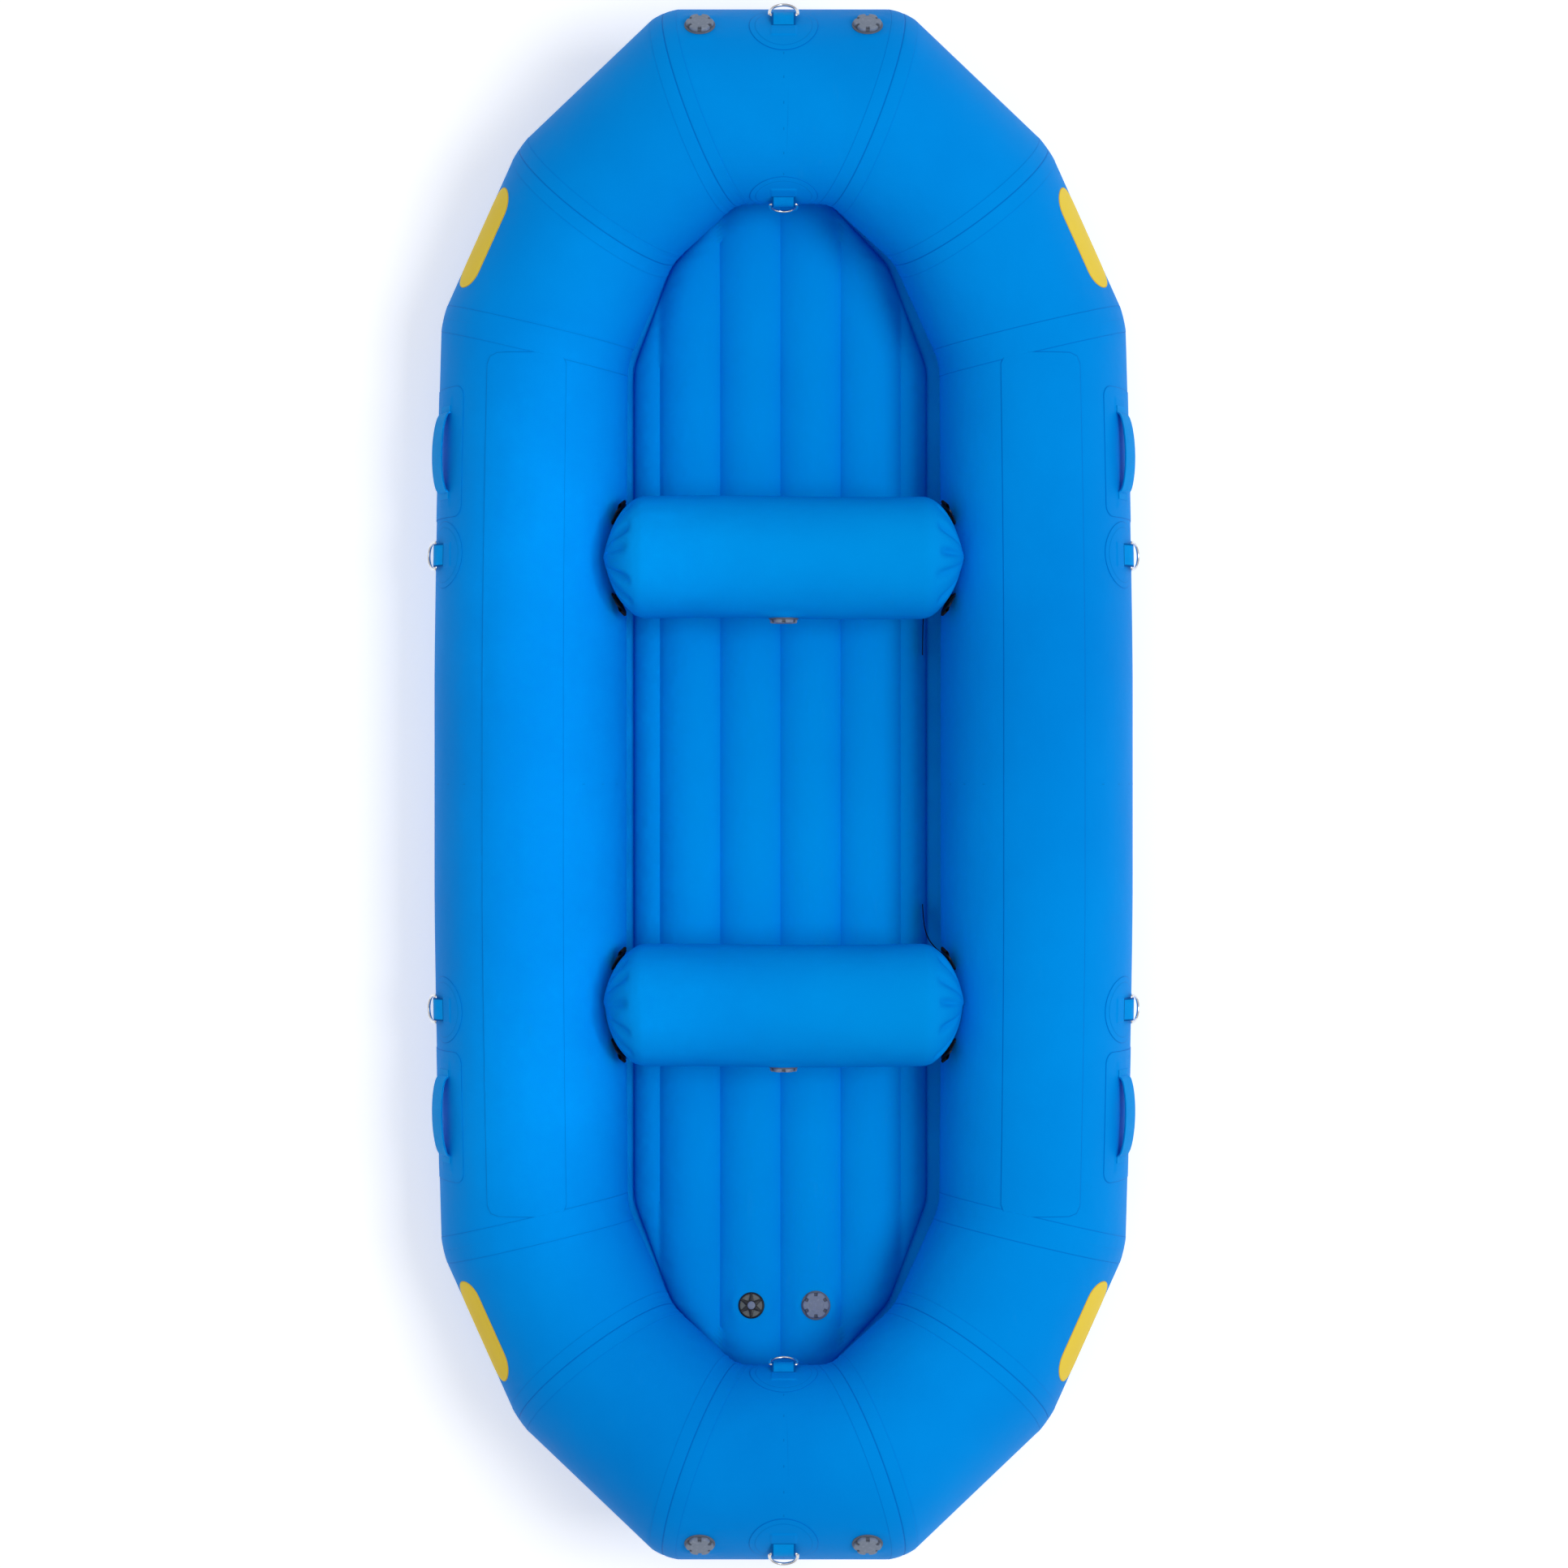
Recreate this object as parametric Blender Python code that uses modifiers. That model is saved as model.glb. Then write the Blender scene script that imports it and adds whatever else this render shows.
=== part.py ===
# An inflatable river raft: a rising ring of mitred air tubes, a ribbed air floor laced in by a skirt,
# two thwarts, and the rings, handles and valves that a raft of this kind carries.
# Metres, +Z up, +X to starboard, +Y to the bow. The origin is on the ground under the middle.

import math

import bmesh
import bpy
import numpy as np
from mathutils import Matrix, Vector
from mathutils.geometry import delaunay_2d_cdt

# fits that every piece shares
gap = 0.0003
cutter_overrun = 0.02

# coated fabric
wall = 0.0012
patch_thickness = 0.001
tape_thickness = 0.0008
tape_half_width = 0.032

# the tube ring, for one quarter: radius and axis at the middle, at the two side stations and at the mitres
facets = 24
side_radius = 0.2286
station_radius = 0.2262
first_mitre_radius = 0.2225
second_mitre_radius = 0.2212
end_radius = 0.220
side_x = 0.605
station_x = 0.602
first_mitre_x = 0.595
second_mitre_x = 0.443
third_mitre_x = 0.1925
flat_station_y = 0.35
station_y = 0.63
first_mitre_y = 1.062
second_mitre_y = 1.374
third_mitre_y = 1.573
first_mitre_lift = 0.0009
second_mitre_rise = 0.0695
third_mitre_rise = 0.2015

# chafe panels on the side tubes and the base patches of the handles
chafe_half_angle = math.radians(24.5)
chafe_half_length = 0.985
base_patch_top_angle = math.radians(50)
base_patch_bottom_angle = math.radians(-5)
base_patch_length = 0.30

# chamber baffles
baffle_depth = 0.11

# air floor
rib_pitch = 0.147
rib_count = 4
rib_steps = 4
floor_edge_band = 0.064
floor_edge_shares = (0, 0.25, 0.6, 1)
floor_fullness_shares = (0, 0.75, 1.1, 1)
floor_shoulder_y = 1.02
floor_quarter_x = 0.262
floor_quarter_y = 1.262
floor_end_x = 0.105
floor_end_y = 1.42
rib_fade_end_y = 1.20
floor_clearance = 0.0025
rib_crown_half = 0.055
rib_valley_half = 0.041
floor_rim_half = 0.006
floor_rise = 0.085
floor_rim_wall = 0.0024
web_end_y = 1.22
outer_web_end_y = 0.98
skirt_edge_clearance = 0.0028
skirt_facet = 15

# thwarts
thwart_facets = 16
thwart_radius = 0.143
thwart_press = 0.0382
thwart_end_depth = 0.099
thwart_height = 0.365
thwart_tip_angle = math.radians(78)
fore_thwart_y = 0.532
aft_thwart_y = -0.518
strap_width = 0.025
strap_thickness = 0.0015
strap_clearance = 0.0012
strap_start_angle = math.radians(-14)
buckle_width = 0.032
buckle_thickness = 0.006
strap_tip_inset = 0.030
strap_stations = 13
fit_rounds = 30

# D-rings and their anchors
anchor_radius = 0.079
webbing_width = 0.054
webbing_thickness = 0.0016
tongue_length = 0.058
tongue_height = 0.002
ring_offset = 0.030
ring_wire = 0.007
ring_half_width = 0.032
ring_corner = 0.0045
ring_reach = 0.042
ring_play = 0.0004
side_anchor_angle = math.radians(60)
fore_anchor_y = 0.540
aft_anchor_y = -0.530
outer_anchor_angle = math.radians(39)
inner_anchor_angle = math.radians(81)

# webbing handles
handle_angle = math.radians(60)
handle_y = 0.78
handle_width = 0.050
handle_span = 0.187
handle_tail = 0.026
handle_thickness = 0.004
handle_height = 0.022
handle_fullness = 0.6
handle_steps = 12

# inflation valves
valve_flange_radius = 0.035
valve_flange_thickness = 0.0025
valve_barrel_radius = 0.0222
valve_bore_radius = 0.0188
valve_depth = 0.030
valve_hole_play = 0.0005
tube_valve_angle = math.radians(45)
tube_valve_x = 0.190
cap_radius = 0.031
cap_lobe = 0.002
cap_lobes = 6
cap_height = 0.0095
cap_crown_inset = 0.005
cap_plug_radius = 0.0182
cap_plug_depth = 0.010
floor_valve_x = 0.078
floor_valve_y = -1.261

# pressure relief valve in the floor
relief_window_inner = 0.0125
relief_window_share = 0.62
relief_stem_radius = 0.005
relief_stem_play = 0.0005
relief_button_radius = 0.0095
relief_button_height = 0.003
relief_travel = 0.004
relief_plate_radius = 0.0175
relief_plate_thickness = 0.002
relief_web_thickness = 0.002
plunger_sides = 12

# colours as on a blue raft with grey and black fittings
blue = (0.002, 0.262, 0.775)
deep_blue = (0.001, 0.200, 0.640)
floor_blue = (0.001, 0.220, 0.700)
steel = (0.62, 0.63, 0.65)
valve_grey = (0.155, 0.170, 0.195)
valve_black = (0.012, 0.013, 0.015)
webbing_black = (0.010, 0.010, 0.012)

facet_step = 2 * math.pi / facets
up = np.array([0.0, 0.0, 1.0])
starboard = np.array([1.0, 0.0, 0.0])
bow = np.array([0.0, 1.0, 0.0])
ends = {"bow": 1, "stern": -1}
sides = {"starboard": 1, "port": -1}


# scene and object helpers

def clear_scene():
    for item in list(bpy.data.objects):
        bpy.data.objects.remove(item, do_unlink=True)


def new_collection(name):
    collection = bpy.data.collections.new(name)
    bpy.context.scene.collection.children.link(collection)
    return collection


def material(name, colour, roughness, metallic=0.0):
    made = bpy.data.materials.new(name)
    made.use_nodes = True
    shader = made.node_tree.nodes["Principled BSDF"]
    shader.inputs["Base Color"].default_value = (*colour, 1)
    shader.inputs["Roughness"].default_value = roughness
    shader.inputs["Metallic"].default_value = metallic
    return made


def place(name, data, finish=None, matrix=None):
    # a finish makes the object a sub-part, and without one it is a cutter
    item = bpy.data.objects.new(name, data)
    if finish:
        data.materials.append(finish)
        raft.objects.link(item)
    else:
        cutters.objects.link(item)
        item.hide_render = True
        item.display_type = "WIRE"
    if matrix:
        item.matrix_world = matrix
    return item


def mesh_from(bm, name):
    bmesh.ops.remove_doubles(bm, verts=bm.verts, dist=gap / 100)
    bmesh.ops.recalc_face_normals(bm, faces=bm.faces)
    mesh = bpy.data.meshes.new(name)
    bm.to_mesh(mesh)
    bm.free()
    mesh.shade_smooth()
    mesh.set_sharp_from_angle(angle=math.radians(40))
    return mesh


def loft_mesh(name, rings, cyclic=False, capped=True, split=False):
    # joins rings of equally many points; a cyclic loft closes on its first ring; split cuts the
    # quads into triangles here, where long ones aren't flat
    bm = bmesh.new()
    loops = [[bm.verts.new(point) for point in ring] for ring in rings]
    pairs = list(zip(loops, loops[1:]))
    if cyclic:
        pairs.append((loops[-1], loops[0]))
    for low, high in pairs:
        for k in range(len(low)):
            bm.faces.new((low[k - 1], low[k], high[k], high[k - 1]))
    if capped and not cyclic:
        bm.faces.new(loops[0])
        bm.faces.new(loops[-1])
    if split:
        bmesh.ops.triangulate(bm, faces=bm.faces)
    return mesh_from(bm, name)


def boolean(item, tool, operation="DIFFERENCE"):
    modifier = item.modifiers.new(operation.lower(), "BOOLEAN")
    modifier.operation = operation
    modifier.solver = "EXACT"
    modifier.object = tool


def cylinder_mesh(name, radius, depth, segments):
    bm = bmesh.new()
    bmesh.ops.create_cone(
        bm, cap_ends=True, segments=segments, radius1=radius, radius2=radius, depth=depth
    )
    return mesh_from(bm, name)


def outline_curve(name, outlines, half_thickness):
    curve = bpy.data.curves.new(name, "CURVE")
    curve.dimensions = "2D"
    curve.fill_mode = "BOTH"
    curve.extrude = half_thickness
    for outline in outlines:
        spline = curve.splines.new("POLY")
        spline.points.add(len(outline) - 1)
        for point, (x, y) in zip(spline.points, outline):
            point.co = (x, y, 0, 1)
        spline.use_cyclic_u = True
    return curve


def solid_from_curve(name, curve, finish, matrix):
    # an extruded outline as a closed mesh, ready for Booleans
    guide = place(name + "_outline", curve, matrix=matrix)
    bpy.context.view_layer.update()
    evaluated = guide.evaluated_get(bpy.context.evaluated_depsgraph_get())
    mesh = bpy.data.meshes.new_from_object(evaluated)
    bm = bmesh.new()
    bm.from_mesh(mesh)
    bpy.data.meshes.remove(mesh)
    item = place(name, mesh_from(bm, name), finish, guide.matrix_world.copy())
    bpy.data.objects.remove(guide)
    return item


def basis(origin, x_axis, y_axis, z_axis):
    return Matrix(
        (
            (x_axis[0], y_axis[0], z_axis[0], origin[0]),
            (x_axis[1], y_axis[1], z_axis[1], origin[1]),
            (x_axis[2], y_axis[2], z_axis[2], origin[2]),
            (0, 0, 0, 1),
        )
    )


def circle(centre, radius, start, stop, count):
    angles = np.linspace(start, stop, count)
    return [(centre[0] + radius * math.cos(a), centre[1] + radius * math.sin(a)) for a in angles]


# geometry of the tube ring

def unit(vector):
    return vector / np.linalg.norm(vector)


def flipped(points, side, end):
    return np.asarray(points) * np.array([side, end, 1.0])


def reflected(vector, normal):
    return vector - 2 * (vector @ normal) * normal


def section(centre, radius, frame, normal):
    # corners of a faceted tube section, carried along the tube to the plane through its centre
    across, rise, along = frame
    angles = facet_step * (np.arange(facets) + 0.5)
    corner = radius / math.cos(facet_step / 2)
    ring = centre + corner * (np.outer(np.cos(angles), across) + np.outer(np.sin(angles), rise))
    carry = ((centre - ring) @ normal) / (along @ normal)
    return ring + np.outer(carry, along)


def cut(ring_a, ring_b, point, normal):
    # the ring where the facet lines from ring_a to ring_b cross a plane
    share = ((point - ring_a) @ normal) / ((ring_b - ring_a) @ normal)
    return ring_a + share[:, None] * (ring_b - ring_a)


first_mitre_z = first_mitre_radius + first_mitre_lift
mitres = [
    np.array([first_mitre_x, first_mitre_y, first_mitre_z]),
    np.array([second_mitre_x, second_mitre_y, first_mitre_z + second_mitre_rise]),
    np.array([third_mitre_x, third_mitre_y, first_mitre_z + third_mitre_rise]),
]
mitre_radii = [first_mitre_radius, second_mitre_radius, end_radius]
side_run = unit(np.array([first_mitre_x - station_x, first_mitre_y - station_y, 0]))
runs = [side_run, unit(mitres[1] - mitres[0]), unit(mitres[2] - mitres[1]), -starboard]
mitre_normals = [unit(a + b) for a, b in zip(runs, runs[1:])]
frames = [(np.cross(side_run, up), up, side_run)]
for mitre_normal in mitre_normals:
    across_axis, rise_axis, along_axis = frames[-1]
    frames.append(
        (
            reflected(across_axis, mitre_normal),
            reflected(rise_axis, mitre_normal),
            -reflected(along_axis, mitre_normal),
        )
    )


def mitre_ring(index, lift):
    return section(mitres[index], mitre_radii[index] + lift, frames[index], mitre_normals[index])


def side_station(x, y, radius, lift):
    return section(np.array([x, y, radius]), radius + lift, (starboard, up, bow), bow)


def half_side_rings(lift):
    # from the flat middle stretch to the first mitre, on the starboard bow quarter
    return [
        side_station(side_x, flat_station_y, side_radius, lift),
        side_station(station_x, station_y, station_radius, lift),
        mitre_ring(0, lift),
    ]


def whole_side_rings(lift):
    half = half_side_rings(lift)
    return [flipped(ring, 1, -1) for ring in reversed(half)] + half


def panel_rings(index, lift):
    # the two mitre rings of shoulder 0 and quarter 1, and of the end panel 2
    if index == 2:
        ring = mitre_ring(2, lift)
        return [ring, flipped(ring, -1, 1)]
    return [mitre_ring(index, lift), mitre_ring(index + 1, lift)]


def taped(low, high, low_tape, high_tape, point, normal):
    # the raised half of a seam tape: its edge at the mitre, and its step down to the panel
    edge = point + normal * tape_half_width
    return [
        cut(low_tape, high_tape, point + normal * gap / 2, normal),
        cut(low_tape, high_tape, edge, normal),
        cut(low, high, edge, normal),
    ]


def panel_body(index):
    low, high = panel_rings(index, 0)
    low_tape, high_tape = panel_rings(index, tape_thickness)
    low_inner, high_inner = panel_rings(index, -wall)
    start, start_normal = mitres[index], mitre_normals[index]
    if index == 2:
        stop = flipped(start, -1, 1)
        stop_normal = flipped(start_normal, -1, 1)
    else:
        stop, stop_normal = mitres[index + 1], -mitre_normals[index + 1]
    outer = taped(low, high, low_tape, high_tape, start, start_normal)
    outer += reversed(taped(high, low, high_tape, low_tape, stop, stop_normal))
    inner = [
        cut(low_inner, high_inner, stop + stop_normal * gap / 2, stop_normal),
        cut(low_inner, high_inner, start + start_normal * gap / 2, start_normal),
    ]
    return outer + inner


def side_body():
    base = half_side_rings(0)
    tape = half_side_rings(tape_thickness)
    inner = half_side_rings(-wall)
    point, normal = mitres[0], -mitre_normals[0]
    half = base[:2] + list(
        reversed(taped(base[2], base[1], tape[2], tape[1], point, normal))
    )
    lining = [inner[0], cut(inner[2], inner[1], point + normal * gap / 2, normal)]
    outer = [flipped(ring, 1, -1) for ring in reversed(half)] + half
    inside = list(reversed(lining)) + [flipped(ring, 1, -1) for ring in lining]
    return outer + inside


def facet_seat(low, high, index, point, normal, lift=0.0):
    # the middle of facet index where it crosses a plane: origin, along the tube, around it, outward
    low_mid = (low[index - 1] + low[index]) / 2
    high_mid = (high[index - 1] + high[index]) / 2
    share = ((point - low_mid) @ normal) / ((high_mid - low_mid) @ normal)
    along = unit(high_mid - low_mid)
    edge = low[index - 1] - low[index]
    around = unit(edge - (edge @ along) * along)
    outward = unit(np.cross(around, along))
    middle = ((low.mean(axis=0) + high.mean(axis=0)) / 2)
    if outward @ (low_mid - middle) < 0:
        outward = -outward
    return low_mid + share * (high_mid - low_mid) + outward * lift, along, around, outward


def side_leg(y, lift):
    # the two side rings that a place on the starboard bow quarter lies between
    rings = half_side_rings(lift)
    return (rings[1], rings[2]) if y > station_y else (rings[0], rings[1])


def end_facet(angle):
    # the end panel's facet nearest to an angle from the crown, outboard of it when positive
    low, high = panel_rings(2, 0)
    best = None
    for index in range(facets):
        outward = facet_seat(low, high, index, np.zeros(3), starboard)[3]
        miss = abs(math.atan2(outward[1], outward[2]) - angle)
        if best is None or miss < best[0]:
            best = (miss, index)
    return best[1]


def seat_on_side(y, index, lift, side):
    # a seat on either side tube at any y, with an outward and a downhill direction
    low, high = side_leg(abs(y), 0)
    point, along, around, outward = facet_seat(low, high, index, bow * abs(y), bow, lift)
    return seated(point, along, around, outward, side, 1 if y > 0 else -1)


def seat_on_end(x, angle, lift, end):
    low, high = panel_rings(2, 0)
    index = end_facet(angle)
    point, along, around, outward = facet_seat(low, high, index, starboard * x, starboard, lift)
    return seated(point, along, around, outward, 1, end)


def seated(point, along, around, outward, side, end):
    point, around, outward = (flipped(v, side, end) for v in (point, around, outward))
    downhill = around if around[2] < 0 else -around
    return point, np.cross(downhill, outward), downhill, outward


# tubes

def make_tubes():
    for side_name, side in sides.items():
        rings = [flipped(ring, side, 1) for ring in side_body()]
        name = "side_tube_" + side_name
        tube = place(name, loft_mesh(name, rings, cyclic=True), tube_finish)
        for patch in side_patches(side_name, side):
            boolean(tube, patch, "UNION")
    for end_name, end in ends.items():
        for index, part in ((0, "shoulder_tube_"), (1, "quarter_tube_")):
            for side_name, side in sides.items():
                rings = [flipped(ring, side, end) for ring in panel_body(index)]
                name = part + end_name + "_" + side_name
                place(name, loft_mesh(name, rings, cyclic=True), tube_finish)
        rings = [flipped(ring, 1, end) for ring in panel_body(2)]
        name = "end_tube_" + end_name
        tube = place(name, loft_mesh(name, rings, cyclic=True), tube_finish)
        for side in sides.values():
            seat = seat_on_end(side * tube_valve_x, tube_valve_angle, 0, end)
            boolean(tube, valve_hole(name + "_hole", seat))


def facet_corner_angles(start, stop):
    # both angles and every facet corner between them, counted from outboard up over the crown
    corners = [facet_step * (k + 0.5) for k in range(-facets, facets)]
    return [start] + [a for a in corners if start < a < stop] + [stop]


def facet_reach(angle):
    # how far a unit polygon reaches at an angle
    offset = (angle + facet_step / 2) % facet_step - facet_step / 2
    return 1 / math.cos(offset)


def side_values(y):
    stations = [flat_station_y, station_y, first_mitre_y]
    x = np.interp(abs(y), stations, [side_x, station_x, first_mitre_x])
    radius = np.interp(abs(y), stations, [side_radius, station_radius, first_mitre_radius])
    return x, radius


def side_patch(name, side, angles, places):
    # a layer on the side tube, let half its thickness into the wall so that the two fuse
    rings = []
    for y in places:
        x, radius = side_values(y)
        outline = []
        for lift, order in ((patch_thickness, angles), (-wall / 2, reversed(angles))):
            for angle in order:
                reach = (radius + lift) * facet_reach(angle)
                outline.append(
                    (side * (x + reach * math.cos(angle)), y, radius + reach * math.sin(angle))
                )
        rings.append(outline)
    return place(name, loft_mesh(name, rings))


def side_patches(side_name, side):
    crown = math.pi / 2
    chafe_angles = facet_corner_angles(crown - chafe_half_angle, crown + chafe_half_angle)
    stops = [-chafe_half_length, -station_y, -flat_station_y]
    stops += [flat_station_y, station_y, chafe_half_length]
    made = [side_patch("chafe_panel_" + side_name, side, chafe_angles, stops)]
    base_angles = facet_corner_angles(base_patch_bottom_angle, base_patch_top_angle)
    for end_name, end in ends.items():
        reach = base_patch_length / 2
        stops = sorted(end * y for y in (handle_y - reach, handle_y + reach))
        made.append(side_patch("base_patch_" + end_name + "_" + side_name, side, base_angles, stops))
    return made


def make_baffles():
    # a cone of fabric across each tube divides the ring into four chambers
    for side_name, side in sides.items():
        centre = np.array([side_x, 0, side_radius])
        rim = section(centre, side_radius - wall - gap, (starboard, up, bow), bow)
        place_baffle("baffle_" + side_name, rim, centre, bow, side, 1)
    for end_name, end in ends.items():
        centre = mitres[2] * np.array([0, 1, 1])
        rim = section(centre, end_radius - wall - gap, frames[3], starboard)
        place_baffle("baffle_" + end_name, rim, centre, starboard, 1, end)


def place_baffle(name, rim, centre, along, side, end):
    rings = []
    for depth, thickness in ((baffle_depth, 0.0), (baffle_depth, wall)):
        tip_share = wall / side_radius
        tip = centre + (rim - centre) * tip_share + along * (depth + thickness)
        edge = rim + along * thickness
        rings.append((edge, tip))
    (low_edge, low_tip), (high_edge, high_tip) = rings
    order = [low_tip, low_edge, high_edge, high_tip]
    place(name, loft_mesh(name, [flipped(ring, side, end) for ring in order]), baffle_finish)


# air floor and its skirt

floor_half_width = rib_pitch * rib_count / 2 + floor_edge_band


def floor_middle(y):
    climb = max(abs(y) - floor_shoulder_y, 0) / (floor_end_y - floor_shoulder_y)
    return floor_clearance + rib_crown_half + floor_rise * climb


def rib_half(x, y):
    # half the floor's thickness away from its edges: round ribs that fade towards the ends
    across = (x / rib_pitch) % 1
    fade = 1 - np.clip((abs(y) - floor_shoulder_y) / (rib_fade_end_y - floor_shoulder_y), 0, 1)
    crown = 4 * across * (1 - across) * fade
    return rib_valley_half + (rib_crown_half - rib_valley_half) * crown


floor_corners = [
    np.array([floor_half_width, 0]),
    np.array([floor_half_width, floor_shoulder_y]),
    np.array([floor_quarter_x, floor_quarter_y]),
    np.array([floor_end_x, floor_end_y]),
    np.array([0, floor_end_y]),
]


def edge_lines():
    # outward normal and distance of each straight edge in one quarter of the floor's outline
    lines = []
    for a, b in zip(floor_corners, floor_corners[1:]):
        run = unit(b - a)
        normal = np.array([run[1], -run[0]])
        lines.append((normal, normal @ a))
    return lines


def floor_inset(x, y):
    return min(distance - normal @ (abs(x), abs(y)) for normal, distance in edge_lines())


def floor_half(x, y):
    share = np.interp(floor_inset(x, y) / floor_edge_band, floor_edge_shares, floor_fullness_shares)
    full = rib_half(x, y) if abs(x) < rib_pitch * rib_count / 2 else rib_valley_half
    return floor_rim_half + (full - floor_rim_half) * share


def floor_outline(inset):
    # the outline moved inwards, as a closed loop of corners
    lines = edge_lines()
    quarter = []
    for (normal_a, distance_a), (normal_b, distance_b) in zip(lines, lines[1:]):
        sides_met = np.array([normal_a, normal_b])
        quarter.append(np.linalg.solve(sides_met, (distance_a - inset, distance_b - inset)))
    left = [point * (-1, 1) for point in reversed(quarter)]
    half = quarter + left
    return half + [point * (1, -1) for point in reversed(half)]


def floor_reach(x, inset):
    # how far along Y the moved outline goes at x
    return min((distance - inset - normal[0] * abs(x)) / normal[1] for normal, distance in edge_lines()[1:])


def floor_plan():
    # a triangulated plan: rings in from the edge, lines along the ribs and rows across them
    points = []
    edges = []

    def add_path(path, closed):
        first = len(points)
        points.extend(Vector(point) for point in path)
        edges.extend((k, k + 1) for k in range(first, len(points) - 1))
        if closed:
            edges.append((len(points) - 1, first))

    insets = [floor_edge_band * share for share in floor_edge_shares]
    for inset in sorted(insets + [floor_rim_wall]):
        add_path(floor_outline(inset), True)
    line_count = rib_count * rib_steps
    for k in range(line_count + 1):
        x = (k / rib_steps - rib_count / 2) * rib_pitch
        reach = floor_reach(x, floor_edge_band)
        add_path([(x, -reach), (x, reach)], False)
    for y in (-rib_fade_end_y, -floor_shoulder_y, floor_shoulder_y, rib_fade_end_y):
        reach = min(
            (distance - floor_edge_band - normal[1] * abs(y)) / normal[0]
            for normal, distance in edge_lines()[:-1]
        )
        add_path([(-reach, y), (reach, y)], False)
    found = delaunay_2d_cdt(points, edges, [], 0, gap / 10)
    return found[0], found[2]


def pillow_mesh(name, plan, least_inset, drop):
    # the plan raised to the floor's top and lowered to its underside, less a wall
    points, triangles = plan
    kept = {k for k, (x, y) in enumerate(points) if floor_inset(x, y) > least_inset - gap}
    faces = [face for face in triangles if kept.issuperset(face)]
    bm = bmesh.new()
    top, bottom = {}, {}
    for k in kept:
        x, y = points[k]
        half = floor_half(x, y) - drop
        top[k] = bm.verts.new((x, y, floor_middle(y) + half))
        bottom[k] = bm.verts.new((x, y, floor_middle(y) - half))
    borders = {}
    for face in faces:
        bm.faces.new([top[k] for k in face])
        bm.faces.new([bottom[k] for k in reversed(face)])
        for a, b in zip(face, face[1:] + face[:1]):
            if (b, a) in borders:
                del borders[(b, a)]
            else:
                borders[(a, b)] = True
    for a, b in borders:
        bm.faces.new((top[a], bottom[a], bottom[b], top[b]))
    return mesh_from(bm, name)


def web_mesh(name, x, reach):
    # a tie between the floor's two skins, standing along a valley
    bend = min(floor_shoulder_y, reach - gap)
    rings = []
    for y in (-reach, -bend, bend, reach):
        middle = floor_middle(y)
        corners = [(-1, -1), (1, -1), (1, 1), (-1, 1)]
        rings.append([(x + a * wall / 2, y, middle + b * rib_crown_half) for a, b in corners])
    return loft_mesh(name, rings)


def make_floor():
    plan = floor_plan()
    floor = place("floor", pillow_mesh("floor", plan, 0, 0), floor_finish)
    cavity = place("floor_cavity", pillow_mesh("floor_cavity", plan, floor_rim_wall, wall))
    for k in range(rib_count + 1):
        x = (k - rib_count / 2) * rib_pitch
        reach = outer_web_end_y if k in (0, rib_count) else web_end_y
        boolean(cavity, place(f"floor_web_{k + 1}", web_mesh(f"floor_web_{k + 1}", x, reach)))
    boolean(floor, cavity)
    for side in sides.values():
        boolean(floor, valve_hole("floor_valve_hole", floor_valve_seat(side)))


def floor_valve_seat(side):
    # the floor's top at a valve, with its slope
    x = side * floor_valve_x
    step = valve_flange_radius
    low = floor_top(x, floor_valve_y - step)
    high = floor_top(x, floor_valve_y + step)
    along = unit(np.array([0, 2 * step, high - low]))
    outward = unit(np.cross(starboard, along))
    height = max((low + high) / 2, floor_top(x, floor_valve_y))
    return np.array([x, floor_valve_y, height]), starboard, along, outward


def floor_top(x, y):
    return floor_middle(y) + floor_half(x, y)


def skirt_stations():
    # places along the floor's edge with the tube corner line that each is tied to
    side_rings = half_side_rings(0)
    corner = [ring[skirt_facet] for ring in side_rings]
    line = corner + [mitre_ring(1, 0)[skirt_facet], mitre_ring(2, 0)[skirt_facet]]
    edge = [(floor_half_width, y) for y in (flat_station_y, station_y, floor_shoulder_y)]
    edge += [(floor_quarter_x, floor_quarter_y), (floor_end_x, floor_end_y)]
    stations = [(edge[0], line[0])]
    for index in range(1, len(line)):
        middle = tuple((a + b) / 2 for a, b in zip(edge[index - 1], edge[index]))
        stations.append((middle, (line[index - 1] + line[index]) / 2))
        stations.append((edge[index], line[index]))
    return stations


def make_skirt():
    quarter = []
    for (x, y), anchor in skirt_stations():
        rim = np.array([x, y, floor_middle(y)])
        toward = unit(rim - anchor)
        low = anchor + toward * skirt_edge_clearance
        high = rim - toward * skirt_edge_clearance / 2
        lift = up * wall / 2
        quarter.append(np.array([low - lift, low + lift, high + lift, high - lift]))
    middle = quarter[0] * (1, 0, 1)
    half = [flipped(ring, 1, -1) for ring in reversed(quarter)] + [middle] + quarter
    ring = half + [flipped(station, -1, 1) for station in reversed(half)]
    mesh = loft_mesh("floor_skirt", ring, cyclic=True, split=True)
    place("floor_skirt", mesh, skirt_finish)


# thwarts

# the ends reach past the side tubes' innermost line, and the tubes cut a saddle into them
thwart_half_length = station_x - station_radius + thwart_press
thwart_straight_half = thwart_half_length - thwart_end_depth


def thwart_profile(inset):
    # x and radius from the middle out: a straight barrel with drawn-in, puckered ends
    steps = 4
    profile = []
    for step in range(steps):
        angle = thwart_tip_angle * step / (steps - 1)
        x = thwart_straight_half + thwart_end_depth * math.sin(angle)
        profile.append((x, thwart_radius * math.cos(angle)))
    return [(x - inset * (x > thwart_straight_half), radius - inset) for x, radius in profile]


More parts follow.
